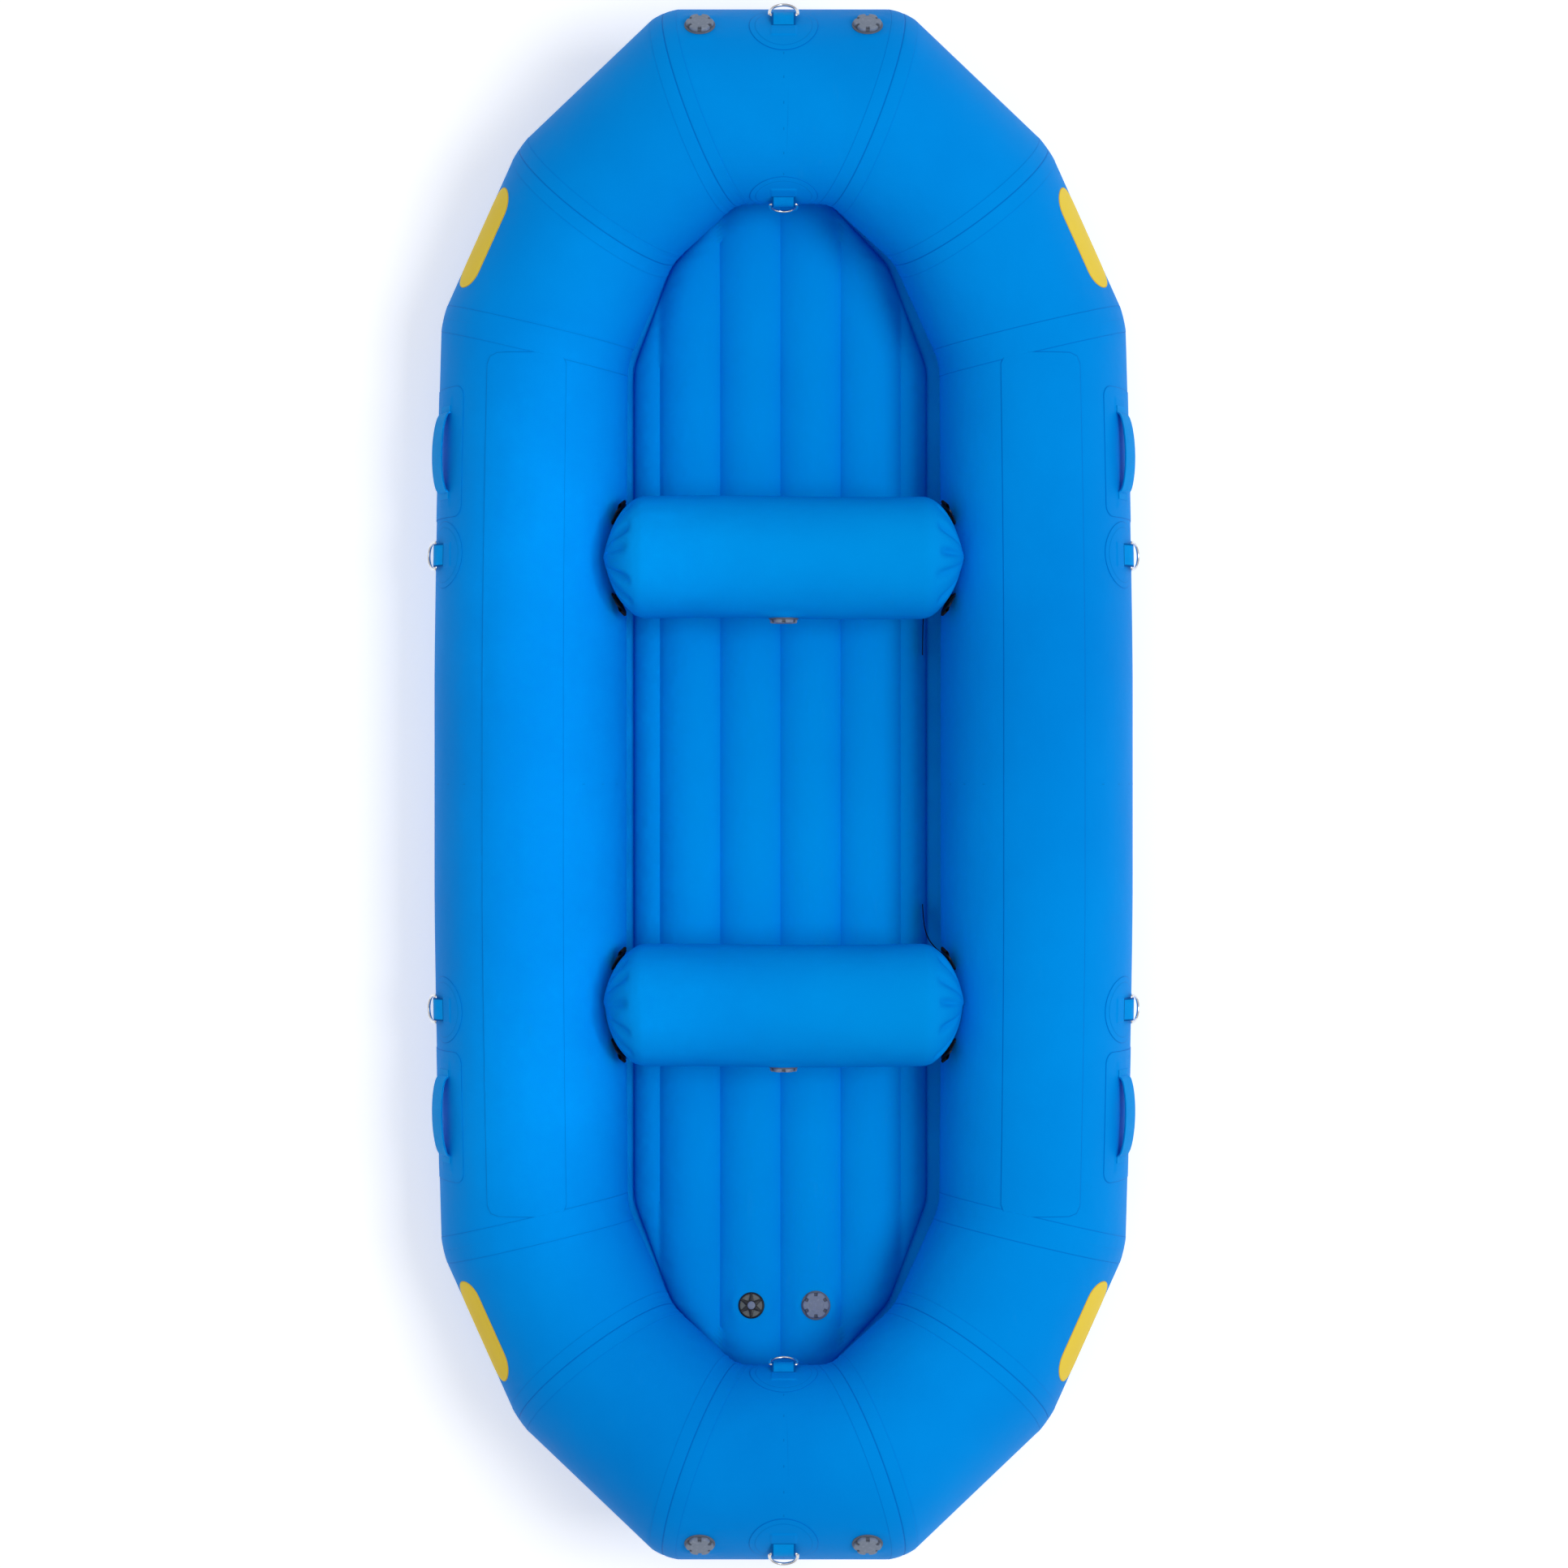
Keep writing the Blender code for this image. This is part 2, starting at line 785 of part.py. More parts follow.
def thwart_ring(x, radius, y):
    step = 2 * math.pi / thwart_facets
    angles = step * (np.arange(thwart_facets) + 0.5)
    corner = radius / math.cos(step / 2)
    return np.stack(
        [
            np.full(thwart_facets, x),
            y + corner * np.cos(angles),
            thwart_height + corner * np.sin(angles),
        ],
        axis=1,
    )


def thwart_mesh(name, y, inset):
    profile = thwart_profile(inset)
    stations = [(-x, radius) for x, radius in reversed(profile)] + profile
    return loft_mesh(name, [thwart_ring(x, radius, y) for x, radius in stations])


def tube_cutter(name, side, lift):
    return place(name, loft_mesh(name, [flipped(r, side, 1) for r in whole_side_rings(lift)]))


def make_thwarts():
    seats = {}
    outer_cutters = [tube_cutter("tube_space", side, gap) for side in sides.values()]
    inner_cutters = [tube_cutter("tube_wall_space", side, gap + wall) for side in sides.values()]
    for thwart_name, y in (("fore", fore_thwart_y), ("aft", aft_thwart_y)):
        name = "thwart_" + thwart_name
        thwart = place(name, thwart_mesh(name, y, 0), thwart_finish)
        cavity = place(name + "_cavity", thwart_mesh(name + "_cavity", y, wall))
        for tool in outer_cutters:
            boolean(thwart, tool)
        for tool in inner_cutters:
            boolean(cavity, tool)
        boolean(thwart, cavity)
        seat = (np.array([0, y - thwart_radius, thwart_height]), starboard, up, -bow)
        boolean(thwart, valve_hole(name + "_hole", seat))
        seats["thwart_" + thwart_name] = seat
        for side_name, side in sides.items():
            make_strap(f"{name}_strap_{side_name}", y, side)
    return seats


def thwart_radius_at(x):
    share = max(x - thwart_straight_half, 0) / thwart_end_depth
    corner = 1 / math.cos(math.pi / thwart_facets)
    return thwart_radius * corner * math.sqrt(1 - min(share, 0.99) ** 2)


def tube_face_x(y, z):
    # the inboard face of the side tube at a height
    x, radius = side_values(y)
    corner = radius / math.cos(facet_step / 2)
    return x - math.sqrt(max(corner**2 - (z - radius) ** 2, 0))


def strap_section(angle, y, width, thickness):
    # a belt section under a thwart: as far out as the tube allows, as close in as the thwart allows
    x = outermost = thwart_half_length - strap_tip_inset
    for _ in range(fit_rounds):
        radius = thwart_radius_at(x - width / 2) + strap_clearance
        outer = radius + thickness
        face = tube_face_x(y + outer * math.cos(angle), thwart_height + outer * math.sin(angle))
        x = min(face - width / 2 - strap_clearance, outermost)
    ring = []
    for offset, lift in ((-1, 0), (1, 0), (1, 1), (-1, 1)):
        r = radius + lift * thickness
        ring.append((x + offset * width / 2, y + r * math.cos(angle), thwart_height + r * math.sin(angle)))
    return np.array(ring)


def make_strap(name, y, side):
    stop = -math.pi - strap_start_angle
    rings = []
    for step in range(strap_stations):
        angle = strap_start_angle + (stop - strap_start_angle) * step / (strap_stations - 1)
        buckled = step in (0, 1, strap_stations - 2, strap_stations - 1)
        width = buckle_width if buckled else strap_width
        thickness = buckle_thickness if buckled else strap_thickness
        rings.append(flipped(strap_section(angle, y, width, thickness), side, 1))
    place(name, loft_mesh(name, rings), strap_finish)


# D-rings

def tongue_outline():
    # webbing tongue in the plane across the ring's bar: x downhill, y outward from the patch's middle
    loop_radius = ring_wire / 2 + ring_play + webbing_thickness
    centre = (ring_offset, bar_height())
    floor_level = gap + patch_thickness / 2
    top_level = gap + patch_thickness + tongue_height
    tail = ring_offset - tongue_length
    low_start = math.asin((top_level - centre[1]) / loop_radius)
    points = [(tail, floor_level), (tail, top_level)]
    points.append((centre[0] - loop_radius * math.cos(low_start) * 2, centre[1]))
    points += circle(centre, loop_radius, math.radians(120), math.radians(-120), 9)
    points.append((centre[0] - loop_radius * 2, top_level - tongue_height / 2))
    points.append((centre[0] - loop_radius * 3, floor_level))
    hole = circle(centre, ring_wire / 2 + ring_play, 0, 2 * math.pi, 9)[:-1]
    return [points, hole]


def bar_height():
    return gap * 2 + patch_thickness + ring_wire / 2 + ring_play + webbing_thickness


def anchor_slab(name, rings_low, rings_high, index, side, end):
    # the tube's own facets, lifted to the bottom and the top of the patch
    reach = range(index - 3, index + 3)
    loops = []
    for low, high in zip(rings_low, rings_high):
        loop = [high[k % facets] for k in reach] + [low[k % facets] for k in reversed(reach)]
        loops.append(flipped(loop, side, end))
    return place(name, loft_mesh(name, loops))


def make_anchor(name, slab, seat):
    point, along, downhill, outward = seat
    matrix = basis(point, downhill, outward, along)
    disc = place(name, slab.data, fitting_finish)
    bpy.data.objects.remove(slab)
    round_cut = place(
        name + "_round",
        cylinder_mesh(name + "_round", anchor_radius, 2 * anchor_radius, 20),
        matrix=basis(point, along, downhill, outward),
    )
    boolean(disc, round_cut, "INTERSECT")
    tongue = solid_from_curve(
        name + "_tongue",
        outline_curve(name + "_tongue", tongue_outline(), webbing_width / 2),
        None,
        matrix,
    )
    boolean(disc, tongue, "UNION")
    return disc


def ring_curve():
    # a welded D: a straight bar, two rounded corners, short legs and a half circle
    leg = ring_reach - ring_half_width
    corner = ring_corner * (1 - math.sin(math.pi / 4))
    points = [(0, -ring_half_width + ring_corner), (0, ring_half_width - ring_corner)]
    points += [(corner, ring_half_width - corner), (ring_corner, ring_half_width)]
    points += [(leg + x, y) for x, y in circle((0, 0), ring_half_width, math.pi / 2, -math.pi / 2, 7)]
    points += [(ring_corner, -ring_half_width), (corner, -ring_half_width + corner)]
    curve = bpy.data.curves.new("d_ring", "CURVE")
    curve.dimensions = "3D"
    curve.bevel_depth = ring_wire / 2
    curve.bevel_resolution = 2
    spline = curve.splines.new("POLY")
    spline.points.add(len(points) - 1)
    for point, (x, y) in zip(spline.points, points):
        point.co = (x, 0, y, 1)
    spline.use_cyclic_u = True
    return curve


def make_ring(name, seat):
    point, along, downhill, outward = seat
    origin = point + downhill * ring_offset + outward * bar_height()
    place(name, ring_curve(), ring_finish, basis(origin, downhill, outward, along))


def make_side_rings():
    index = round((math.pi / 2 - side_anchor_angle) / facet_step)
    for side_name, side in sides.items():
        for end_name, y in (("fore", fore_anchor_y), ("aft", aft_anchor_y)):
            end = 1 if y > 0 else -1
            slabs = []
            for lift in (gap, gap + patch_thickness):
                low, high = side_leg(abs(y), lift)
                reach = anchor_radius + gap
                slabs.append([cut(low, high, bow * (abs(y) + d), bow) for d in (-reach, reach)])
            name = f"ring_anchor_{end_name}_{side_name}"
            slab = anchor_slab(name + "_slab", slabs[0], slabs[1], index, side, end)
            seat = seat_on_side(y, index, 0, side)
            make_anchor(name, slab, seat)
            make_ring(f"d_ring_{end_name}_{side_name}", seat)


def make_end_rings():
    for end_name, end in ends.items():
        for place_name, angle in (("outer", outer_anchor_angle), ("inner", -inner_anchor_angle)):
            index = end_facet(angle)
            slabs = []
            for lift in (gap, gap + patch_thickness):
                low, high = panel_rings(2, lift)
                reach = anchor_radius + gap
                slabs.append([cut(low, high, starboard * d, starboard) for d in (-reach, reach)])
            name = f"ring_anchor_{end_name}_{place_name}"
            slab = anchor_slab(name + "_slab", slabs[0], slabs[1], index, 1, end)
            seat = seat_on_end(0, angle, 0, end)
            make_anchor(name, slab, seat)
            make_ring(f"d_ring_{end_name}_{place_name}", seat)


# handles

def handle_outline():
    # side view of a webbing loop: x along the tube, y outward; flat tails and a full arch
    x = np.linspace(-handle_span / 2, handle_span / 2, handle_steps + 1)
    y = handle_height * np.cos(np.pi * x / handle_span).clip(0) ** handle_fullness
    path = np.stack([x, y], axis=1)
    tail = np.array([handle_tail, 0])
    path = np.concatenate([[path[0] - tail], path, [path[-1] + tail]])
    slopes = np.gradient(path, axis=0)
    slopes /= np.linalg.norm(slopes, axis=1)[:, None]
    normals = np.stack([-slopes[:, 1], slopes[:, 0]], axis=1)
    normals[0] = normals[1] = normals[-1] = normals[-2] = (0, 1)
    lower = path
    upper = path + normals * handle_thickness
    return [np.concatenate([lower, upper[::-1]])]


def make_handles():
    index = round((math.pi / 2 - handle_angle) / facet_step)
    for side_name, side in sides.items():
        for end_name, end in ends.items():
            seat = seat_on_side(end * handle_y, index, patch_thickness + gap, side)
            point, along, downhill, outward = seat
            name = f"handle_{end_name}_{side_name}"
            curve = outline_curve(name, handle_outline(), handle_width / 2)
            solid_from_curve(name, curve, fitting_finish, basis(point, along, outward, -downhill))


# valves

def valve_hole(name, seat):
    point, along, around, outward = seat
    radius = valve_barrel_radius + valve_hole_play
    mesh = cylinder_mesh(name, radius, 2 * cutter_overrun, 16)
    return place(name, mesh, matrix=basis(point, along, around, outward))


def turned(name, profile, finish, matrix, steps):
    # a closed profile of radius and height, turned about the valve's axis
    mesh = bpy.data.meshes.new(name)
    count = len(profile)
    edges = [(k, (k + 1) % count) for k in range(count)]
    mesh.from_pydata([(radius, 0, height) for radius, height in profile], edges, [])
    item = place(name, mesh, finish, matrix)
    screw = item.modifiers.new("turn", "SCREW")
    screw.steps = screw.render_steps = steps
    screw.use_merge_vertices = True
    screw.merge_threshold = gap / 10
    return item


def valve_body_profile():
    top = valve_flange_thickness
    return [
        (valve_bore_radius, top),
        (valve_flange_radius, top),
        (valve_flange_radius, 0),
        (valve_barrel_radius, 0),
        (valve_barrel_radius, -valve_depth),
        (valve_bore_radius, -valve_depth),
    ]


def lobed(radius, height):
    count = cap_lobes * 3
    angles = 2 * math.pi * np.arange(count) / count
    reach = radius + cap_lobe * np.cos(cap_lobes * angles)
    return np.stack([reach * np.cos(angles), reach * np.sin(angles), np.full(count, height)], axis=1)


def round_ring(radius, height, count=cap_lobes * 3):
    angles = 2 * math.pi * np.arange(count) / count
    return np.stack([radius * np.cos(angles), radius * np.sin(angles), np.full(count, height)], axis=1)


def cap_mesh(name):
    base = valve_flange_thickness + gap
    return loft_mesh(
        name,
        [
            round_ring(cap_plug_radius, base - cap_plug_depth),
            round_ring(cap_plug_radius, base),
            lobed(cap_radius, base),
            lobed(cap_radius, base + cap_height - cap_lobe),
            lobed(cap_radius - cap_crown_inset, base + cap_height),
        ],
    )


def make_valve(name, seat):
    point, along, around, outward = seat
    matrix = basis(point + outward * gap, along, np.cross(outward, along), outward)
    turned(name + "_valve_body", valve_body_profile(), valve_finish, matrix, 14)
    place(name + "_valve_cap", cap_mesh(name + "_valve_cap"), cap_finish, matrix)


def make_relief_valve(seat):
    point, along, around, outward = seat
    matrix = basis(point + outward * gap, along, np.cross(outward, along), outward)
    top = valve_flange_thickness
    stem_bore = relief_stem_radius + relief_stem_play
    profile = [
        (stem_bore, top),
        (valve_flange_radius, top),
        (valve_flange_radius, 0),
        (valve_barrel_radius, 0),
        (valve_barrel_radius, -valve_depth),
        (valve_bore_radius, -valve_depth),
        (valve_bore_radius, top - relief_web_thickness),
        (stem_bore, top - relief_web_thickness),
    ]
    body = turned("relief_valve_body", profile, relief_finish, matrix, 18)
    for index in range(cap_lobes):
        boolean(body, relief_window(index, matrix))
    under = top - relief_web_thickness - gap
    button_base = top + relief_travel + gap
    shape = [
        (relief_button_radius, button_base + relief_button_height),
        (relief_button_radius, button_base),
        (relief_stem_radius, button_base),
        (relief_stem_radius, under),
        (relief_plate_radius, under),
        (relief_plate_radius, under - relief_plate_thickness),
    ]
    rings = [round_ring(radius, height, plunger_sides) for radius, height in shape]
    place("relief_valve_plunger", loft_mesh("relief_valve_plunger", rings), cap_finish, matrix)


def relief_window(index, matrix):
    # a wedge between two spokes of the valve's star
    pitch = 2 * math.pi / cap_lobes
    half = pitch * relief_window_share / 2
    middle = pitch * index
    inner = circle((0, 0), relief_window_inner, middle - half / 3, middle + half / 3, 2)
    outer = circle((0, 0), valve_bore_radius - gap, middle + half, middle - half, 3)
    rings = []
    for height in (-cutter_overrun / 4, cutter_overrun / 4):
        rings.append([(x, y, height) for x, y in inner + outer])
    name = f"relief_window_{index + 1}"
    return place(name, loft_mesh(name, rings), matrix=matrix)


def make_valves(thwart_seats):
    for end_name, end in ends.items():
        for side_name, side in sides.items():
            seat = seat_on_end(side * tube_valve_x, tube_valve_angle, 0, end)
            make_valve(f"{end_name}_{side_name}", seat)
    for name, seat in thwart_seats.items():
        make_valve(name, seat)
    make_valve("floor", floor_valve_seat(sides["starboard"]))
    make_relief_valve(floor_valve_seat(sides["port"]))


clear_scene()
raft = new_collection("inflatable_raft")
cutters = new_collection("cutters")
tube_finish = material("tube_fabric", blue, 0.42)
baffle_finish = material("baffle_fabric", deep_blue, 0.6)
floor_finish = material("floor_fabric", floor_blue, 0.42)
skirt_finish = material("skirt_fabric", deep_blue, 0.5)
thwart_finish = material("thwart_fabric", blue, 0.42)
fitting_finish = material("patch_and_webbing", blue, 0.5)
ring_finish = material("stainless_steel", steel, 0.22, 1.0)
valve_finish = material("valve_plastic", valve_grey, 0.5)
cap_finish = material("cap_plastic", valve_grey, 0.45)
relief_finish = material("relief_plastic", valve_black, 0.45)
strap_finish = material("strap_webbing", webbing_black, 0.8)
make_tubes()
make_baffles()
make_floor()
make_skirt()
thwart_valve_seats = make_thwarts()
make_side_rings()
make_end_rings()
make_handles()
make_valves(thwart_valve_seats)
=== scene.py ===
# An inflatable river raft seen from straight above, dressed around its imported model.

import math

import bmesh
import bpy
import numpy as np
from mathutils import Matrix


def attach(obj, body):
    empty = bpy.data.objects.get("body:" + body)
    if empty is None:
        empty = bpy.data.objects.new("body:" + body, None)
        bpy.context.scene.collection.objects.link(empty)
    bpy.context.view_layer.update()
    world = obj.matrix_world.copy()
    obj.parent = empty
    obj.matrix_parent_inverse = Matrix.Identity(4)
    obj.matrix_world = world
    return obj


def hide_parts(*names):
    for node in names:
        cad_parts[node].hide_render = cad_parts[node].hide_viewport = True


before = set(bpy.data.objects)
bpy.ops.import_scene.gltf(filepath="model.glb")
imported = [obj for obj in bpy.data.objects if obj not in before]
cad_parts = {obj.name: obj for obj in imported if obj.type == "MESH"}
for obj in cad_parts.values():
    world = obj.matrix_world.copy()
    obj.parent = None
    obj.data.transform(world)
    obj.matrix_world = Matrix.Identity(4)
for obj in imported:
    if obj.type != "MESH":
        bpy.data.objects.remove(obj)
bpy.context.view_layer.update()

up = np.array([0.0, 0.0, 1.0])
starboard = np.array([1.0, 0.0, 0.0])
bow = np.array([0.0, 1.0, 0.0])
sides = {"Starboard": 1, "Port": -1}
ends = {"Bow": 1, "Stern": -1}

# light and camera; powers in watts, lengths in metres, the focal length in pixels of the photo
studio = {
    "floorTone": 0.97, "floorGlow": 0.30, "worldStrength": 0.54, "stageHalf": 45.0,
    "cameraHeight": 7.05, "focalPixels": 3513, "photoPixels": 1932, "sensor": 36,
    "lamps": {
        "key": {"power": 403, "place": (4.8, 0.0, 9.6), "size": 3.5},
        "side": {"power": 5.5, "place": (3.6, 0.0, 3.2), "size": 2.0},
        "port": {"power": 4.8, "place": (-1.0, 0.0, 2.4), "size": 1.2},
        "strip": {"power": 1.2, "place": (2.2, 0.0, 3.6), "size": 0.5, "long": 2.0,
                  "spread": 14, "aim": (-0.66, 0.0, 0.42)},
    },
}


# small helpers on arrays

def unit(vectors):
    return vectors / np.linalg.norm(vectors, axis=-1, keepdims=True)


def smooth(t):
    # a soft step: 3t^2 - 2t^3 between 0 and 1, flat outside
    t = np.clip(t, 0, 1)
    return t * t * (3 - 2 * t)


def hump(x, middle, width):
    # a bell: e to the minus (distance over width) squared
    return np.exp(-(((x - middle) / width) ** 2))


def softMax(a, b, bend):
    # the larger of two, with the corner between them rounded: mean plus half the rounded difference
    return (a + b + np.sqrt((a - b) ** 2 + bend**2)) / 2


def circle(count):
    # even angles once round, the last one a step short of the start
    return 2 * math.pi * np.arange(count) / count


def runLength(path):
    # distance along a path, from 0 at its start
    return np.concatenate([[0], np.cumsum(np.linalg.norm(np.diff(path, axis=0), axis=1))])


def easedPath(stops, count, passes):
    # straight lines through the stops; each pass moves points to the mean of their neighbours, which rounds bends
    stops = np.array(stops)
    share = np.linspace(0, len(stops) - 1, count)
    path = np.stack([np.interp(share, np.arange(len(stops)), column) for column in stops.T], axis=1)
    for _ in range(passes):
        path[1:-1] = (path[:-2] + path[2:]) / 2
    return path


def nodeName(*words):
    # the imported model's name for a part: its words in lower case
    return "_".join(words).lower()


def mirrored(points, side=1, end=1):
    return points * np.array([side, end, 1.0])


def paint(red, green, blue):
    # a screen colour of 0 to 255 as linear light
    values = np.array([red, green, blue]) / 255
    linear = np.where(values < 0.04045, values / 12.92, ((values + 0.055) / 1.055) ** 2.4)
    return (*(float(v) for v in linear), 1.0)


# pieces from grids: rows and columns of points, with a value per point for the materials

def grid(points, wrapRows=False, wrapColumns=False, **values):
    return {"points": points, "wrapRows": wrapRows, "wrapColumns": wrapColumns, "values": values}


def gridQuads(rows, columns, wrapRows, wrapColumns):
    # corners of each cell: this row and column, and the next of each, round the back where wrapped
    row, column = np.meshgrid(
        np.arange(rows if wrapRows else rows - 1),
        np.arange(columns if wrapColumns else columns - 1),
        indexing="ij",
    )
    nextRow, nextColumn = (row + 1) % rows, (column + 1) % columns
    corners = (row * columns + column, row * columns + nextColumn)
    corners += (nextRow * columns + nextColumn, nextRow * columns + column)
    return np.stack(corners, axis=-1).reshape(-1, 4)


def makePiece(name, grids, finish, body="raft", stands=(), creaseAngle=38):
    # joins grids into one mesh, merges where they meet or close, and points the faces outwards
    points, quads, values, count = [], [], {}, 0
    keys = sorted({key for g in grids for key in g["values"]})
    for g in grids:
        rows, columns = g["points"].shape[:2]
        quads.append(gridQuads(rows, columns, g["wrapRows"], g["wrapColumns"]) + count)
        points.append(g["points"].reshape(-1, 3))
        for key in keys:
            flat = np.broadcast_to(g["values"].get(key, 0.0), (rows, columns)).ravel()
            values.setdefault(key, []).append(flat)
        count += rows * columns
    points, quads = np.concatenate(points), np.concatenate(quads)
    mesh = bpy.data.meshes.new(name)
    mesh.vertices.add(count)
    mesh.vertices.foreach_set("co", points.ravel())
    mesh.loops.add(quads.size)
    mesh.loops.foreach_set("vertex_index", quads.ravel())
    mesh.polygons.add(len(quads))
    mesh.polygons.foreach_set("loop_start", np.arange(0, quads.size, 4))
    mesh.update(calc_edges=True)
    for key in keys:
        layer = mesh.attributes.new(key, "FLOAT", "POINT")
        layer.data.foreach_set("value", np.concatenate(values[key]).astype(np.float32))
    work = bmesh.new()
    work.from_mesh(mesh)
    bmesh.ops.remove_doubles(work, verts=work.verts, dist=1e-5)
    bmesh.ops.recalc_face_normals(work, faces=work.faces)
    work.to_mesh(mesh)
    work.free()
    mesh.materials.append(finish)
    mesh.shade_smooth()
    mesh.set_sharp_from_angle(angle=math.radians(creaseAngle))
    piece = bpy.data.objects.new(name, mesh)
    bpy.context.scene.collection.objects.link(piece)
    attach(piece, body)
    if stands:
        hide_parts(*stands)
    return piece


def beltProfile(width, thickness, steps=7, rim=0.0):
    # a flat belt's outline: straight faces and half-round edges, thicker by rim near the edges
    half, edge = width / 2, thickness / 2
    turn = np.linspace(-math.pi / 2, math.pi / 2, steps)
    flat = np.linspace(-1, 1, 9)[1:-1] * (half - edge)
    right = np.stack([half - edge + edge * np.cos(turn), edge * np.sin(turn)], axis=1)
    top = np.stack([flat[::-1], np.full(len(flat), edge)], axis=1)
    loop = np.concatenate([right, top, -right, -top])
    loop[:, 1] *= 1 + rim * (np.abs(loop[:, 0]) / half) ** 6
    return loop


def roundProfile(radius, count=16):
    angle = circle(count)
    return np.stack([radius * np.cos(angle), radius * np.sin(angle)], axis=1)


def closedEnds(rows):
    # adds a row at either end, gathered to the middle of the row beside it
    first, last = (np.repeat(row.mean(axis=0)[None, None], len(row), axis=1) for row in (rows[0], rows[-1]))
    return np.concatenate([first, rows, last])


def sweep(path, side, profile, closed=False):
    # carries a profile along a path: point = path + across * side + height * (tangent x side)
    ahead = np.roll(path, -1, axis=0) - np.roll(path, 1, axis=0) if closed else np.gradient(path, axis=0)
    side = np.broadcast_to(side, path.shape)
    normal = unit(np.cross(unit(ahead), side))
    across, height = profile[:, 0], profile[:, 1]
    points = path[:, None] + side[:, None] * across[:, None] + normal[:, None] * height[:, None]
    along = runLength(path)
    if not closed:
        points, along = closedEnds(points), np.pad(along, 1, mode="edge")
    along = np.repeat(along[:, None], len(profile), axis=1)
    return grid(points, wrapRows=closed, wrapColumns=True, along=along, across=np.broadcast_to(across, along.shape))


def placedBelt(place, path, shape, edge, lengthwise, along, rim=0.0, dark=1.0):
    # a belt laid on a place: its path is distance and height there, and its edges are marked darker with painted
    # shade
    profile = beltProfile(shape[0], shape[1], rim=rim)
    across, lift = profile[:, 0], profile[:, 1]
    slope = unit(np.gradient(path, axis=0))
    run, height = path[:, :1] - slope[:, 1:] * lift, path[:, 1:] + slope[:, :1] * lift
    wide = np.broadcast_to(across, run.shape)
    points = place(run, wide, height) if lengthwise else place(wide, run, height)
    along = np.pad(along, 1, mode="edge")[:, None] + 0 * across
    # painted shade: a dark band along both edges of the belt
    rimmed = smooth((np.abs(across) - shape[0] / 2 + edge[0]) / edge[1]) + 0 * along
    belt = grid(closedEnds(points), wrapColumns=True, along=along, across=np.broadcast_to(across, along.shape),
                rimmed=rimmed * dark)
    return belt, lift


def turned(seat, profile, count=72, wobble=None):
    # a profile of radius and height turned about a seat's outward axis; wobble changes both by angle and
    # tells how deep in a notch each point lies
    point, along, around, outward = seat
    angle = circle(count)
    radius = np.repeat(profile[:, :1], count, axis=1)
    height = np.repeat(profile[:, 1:2], count, axis=1)
    values = {}
    if wobble:
        radius, height, values["notch"] = wobble(radius, height, angle[None])
    ring = radius[..., None] * (np.cos(angle)[None, :, None] * along + np.sin(angle)[None, :, None] * around)
    return grid(point + ring + height[..., None] * outward, wrapColumns=True, radius=radius, **values)


# shader building: a wire wraps a socket, and a graph makes the nodes

class Wire:
    def __init__(self, graph, socket):
        self.graph, self.socket = graph, socket

    def math(self, operation, *others):
        return self.graph.node("ShaderNodeMath", {"operation": operation}, dict(enumerate((self, *others))))

    def flipped(self, operation, other):
        return self.graph.node("ShaderNodeMath", {"operation": operation}, {0: other, 1: self})

    def __add__(self, other): return self.math("ADD", other)
    def __radd__(self, other): return self.math("ADD", other)
    def __sub__(self, other): return self.math("SUBTRACT", other)
    def __rsub__(self, other): return self.flipped("SUBTRACT", other)
    def __mul__(self, other): return self.math("MULTIPLY", other)
    def __truediv__(self, other): return self.math("DIVIDE", other)
    def size(self): return self.math("ABSOLUTE")
    def wave(self): return self.math("SINE")
    def atLeast(self, other): return self.math("MAXIMUM", other)
    def near(self, middle, width):  # 1 on the middle value, falling to 0 a width away
        return (1 - (self - middle).size() / width).atLeast(0.0)
    def rise(self, low, high):  # 0 below low, 1 above high, soft between
        return self.graph.node(
            "ShaderNodeMapRange", {"interpolation_type": "SMOOTHSTEP"}, {0: self, 1: low, 2: high, 3: 0.0, 4: 1.0}
        )


class Graph:
    def __init__(self, name):
        self.material = bpy.data.materials.new(name)
        self.material.use_nodes = True
        self.tree = self.material.node_tree
        self.shader = self.tree.nodes["Principled BSDF"]
        self.place = self.node("ShaderNodeTexCoord", output="Object")

    def node(self, kind, settings=None, inputs=None, output=0):
        made = self.tree.nodes.new(kind)
        for key, value in (settings or {}).items():
            setattr(made, key, value)
        for key, value in (inputs or {}).items():
            self.feed(made.inputs[key], value)
        return Wire(self, made.outputs[output])

    def feed(self, socket, value):
        if isinstance(value, Wire):
            self.tree.links.new(value.socket, socket)
        else:
            socket.default_value = value

    def noise(self, scale, detail=2.0, stretch=None):
        where = self.place
        if stretch:
            where = self.node("ShaderNodeMapping", {}, {"Vector": where, "Scale": stretch})
        return self.node("ShaderNodeTexNoise", {}, {"Vector": where, "Scale": scale, "Detail": detail})

    def colour(self, factor, first, second):
        return self.node("ShaderNodeMix", {"data_type": "RGBA"}, {0: factor, 6: first, 7: second}, output=2)

    def mark(self, name):
        return self.node("ShaderNodeAttribute", {"attribute_name": name}, output="Fac")

    def axes(self):
        split = self.tree.nodes.new("ShaderNodeSeparateXYZ")
        self.feed(split.inputs[0], self.place)
        return [Wire(self, s) for s in split.outputs]

    def bump(self, height, distance, under=None):
        inputs = {"Height": height, "Distance": distance, "Strength": 1.0}
        if under:
            inputs["Normal"] = under
        return self.node("ShaderNodeBump", {}, inputs)

    def finish(self, **inputs):  # constants and wires for the shader's own sockets
        for key, value in inputs.items():
            self.feed(self.shader.inputs[key.replace("_", " ")], value)
        return self.material


# materials

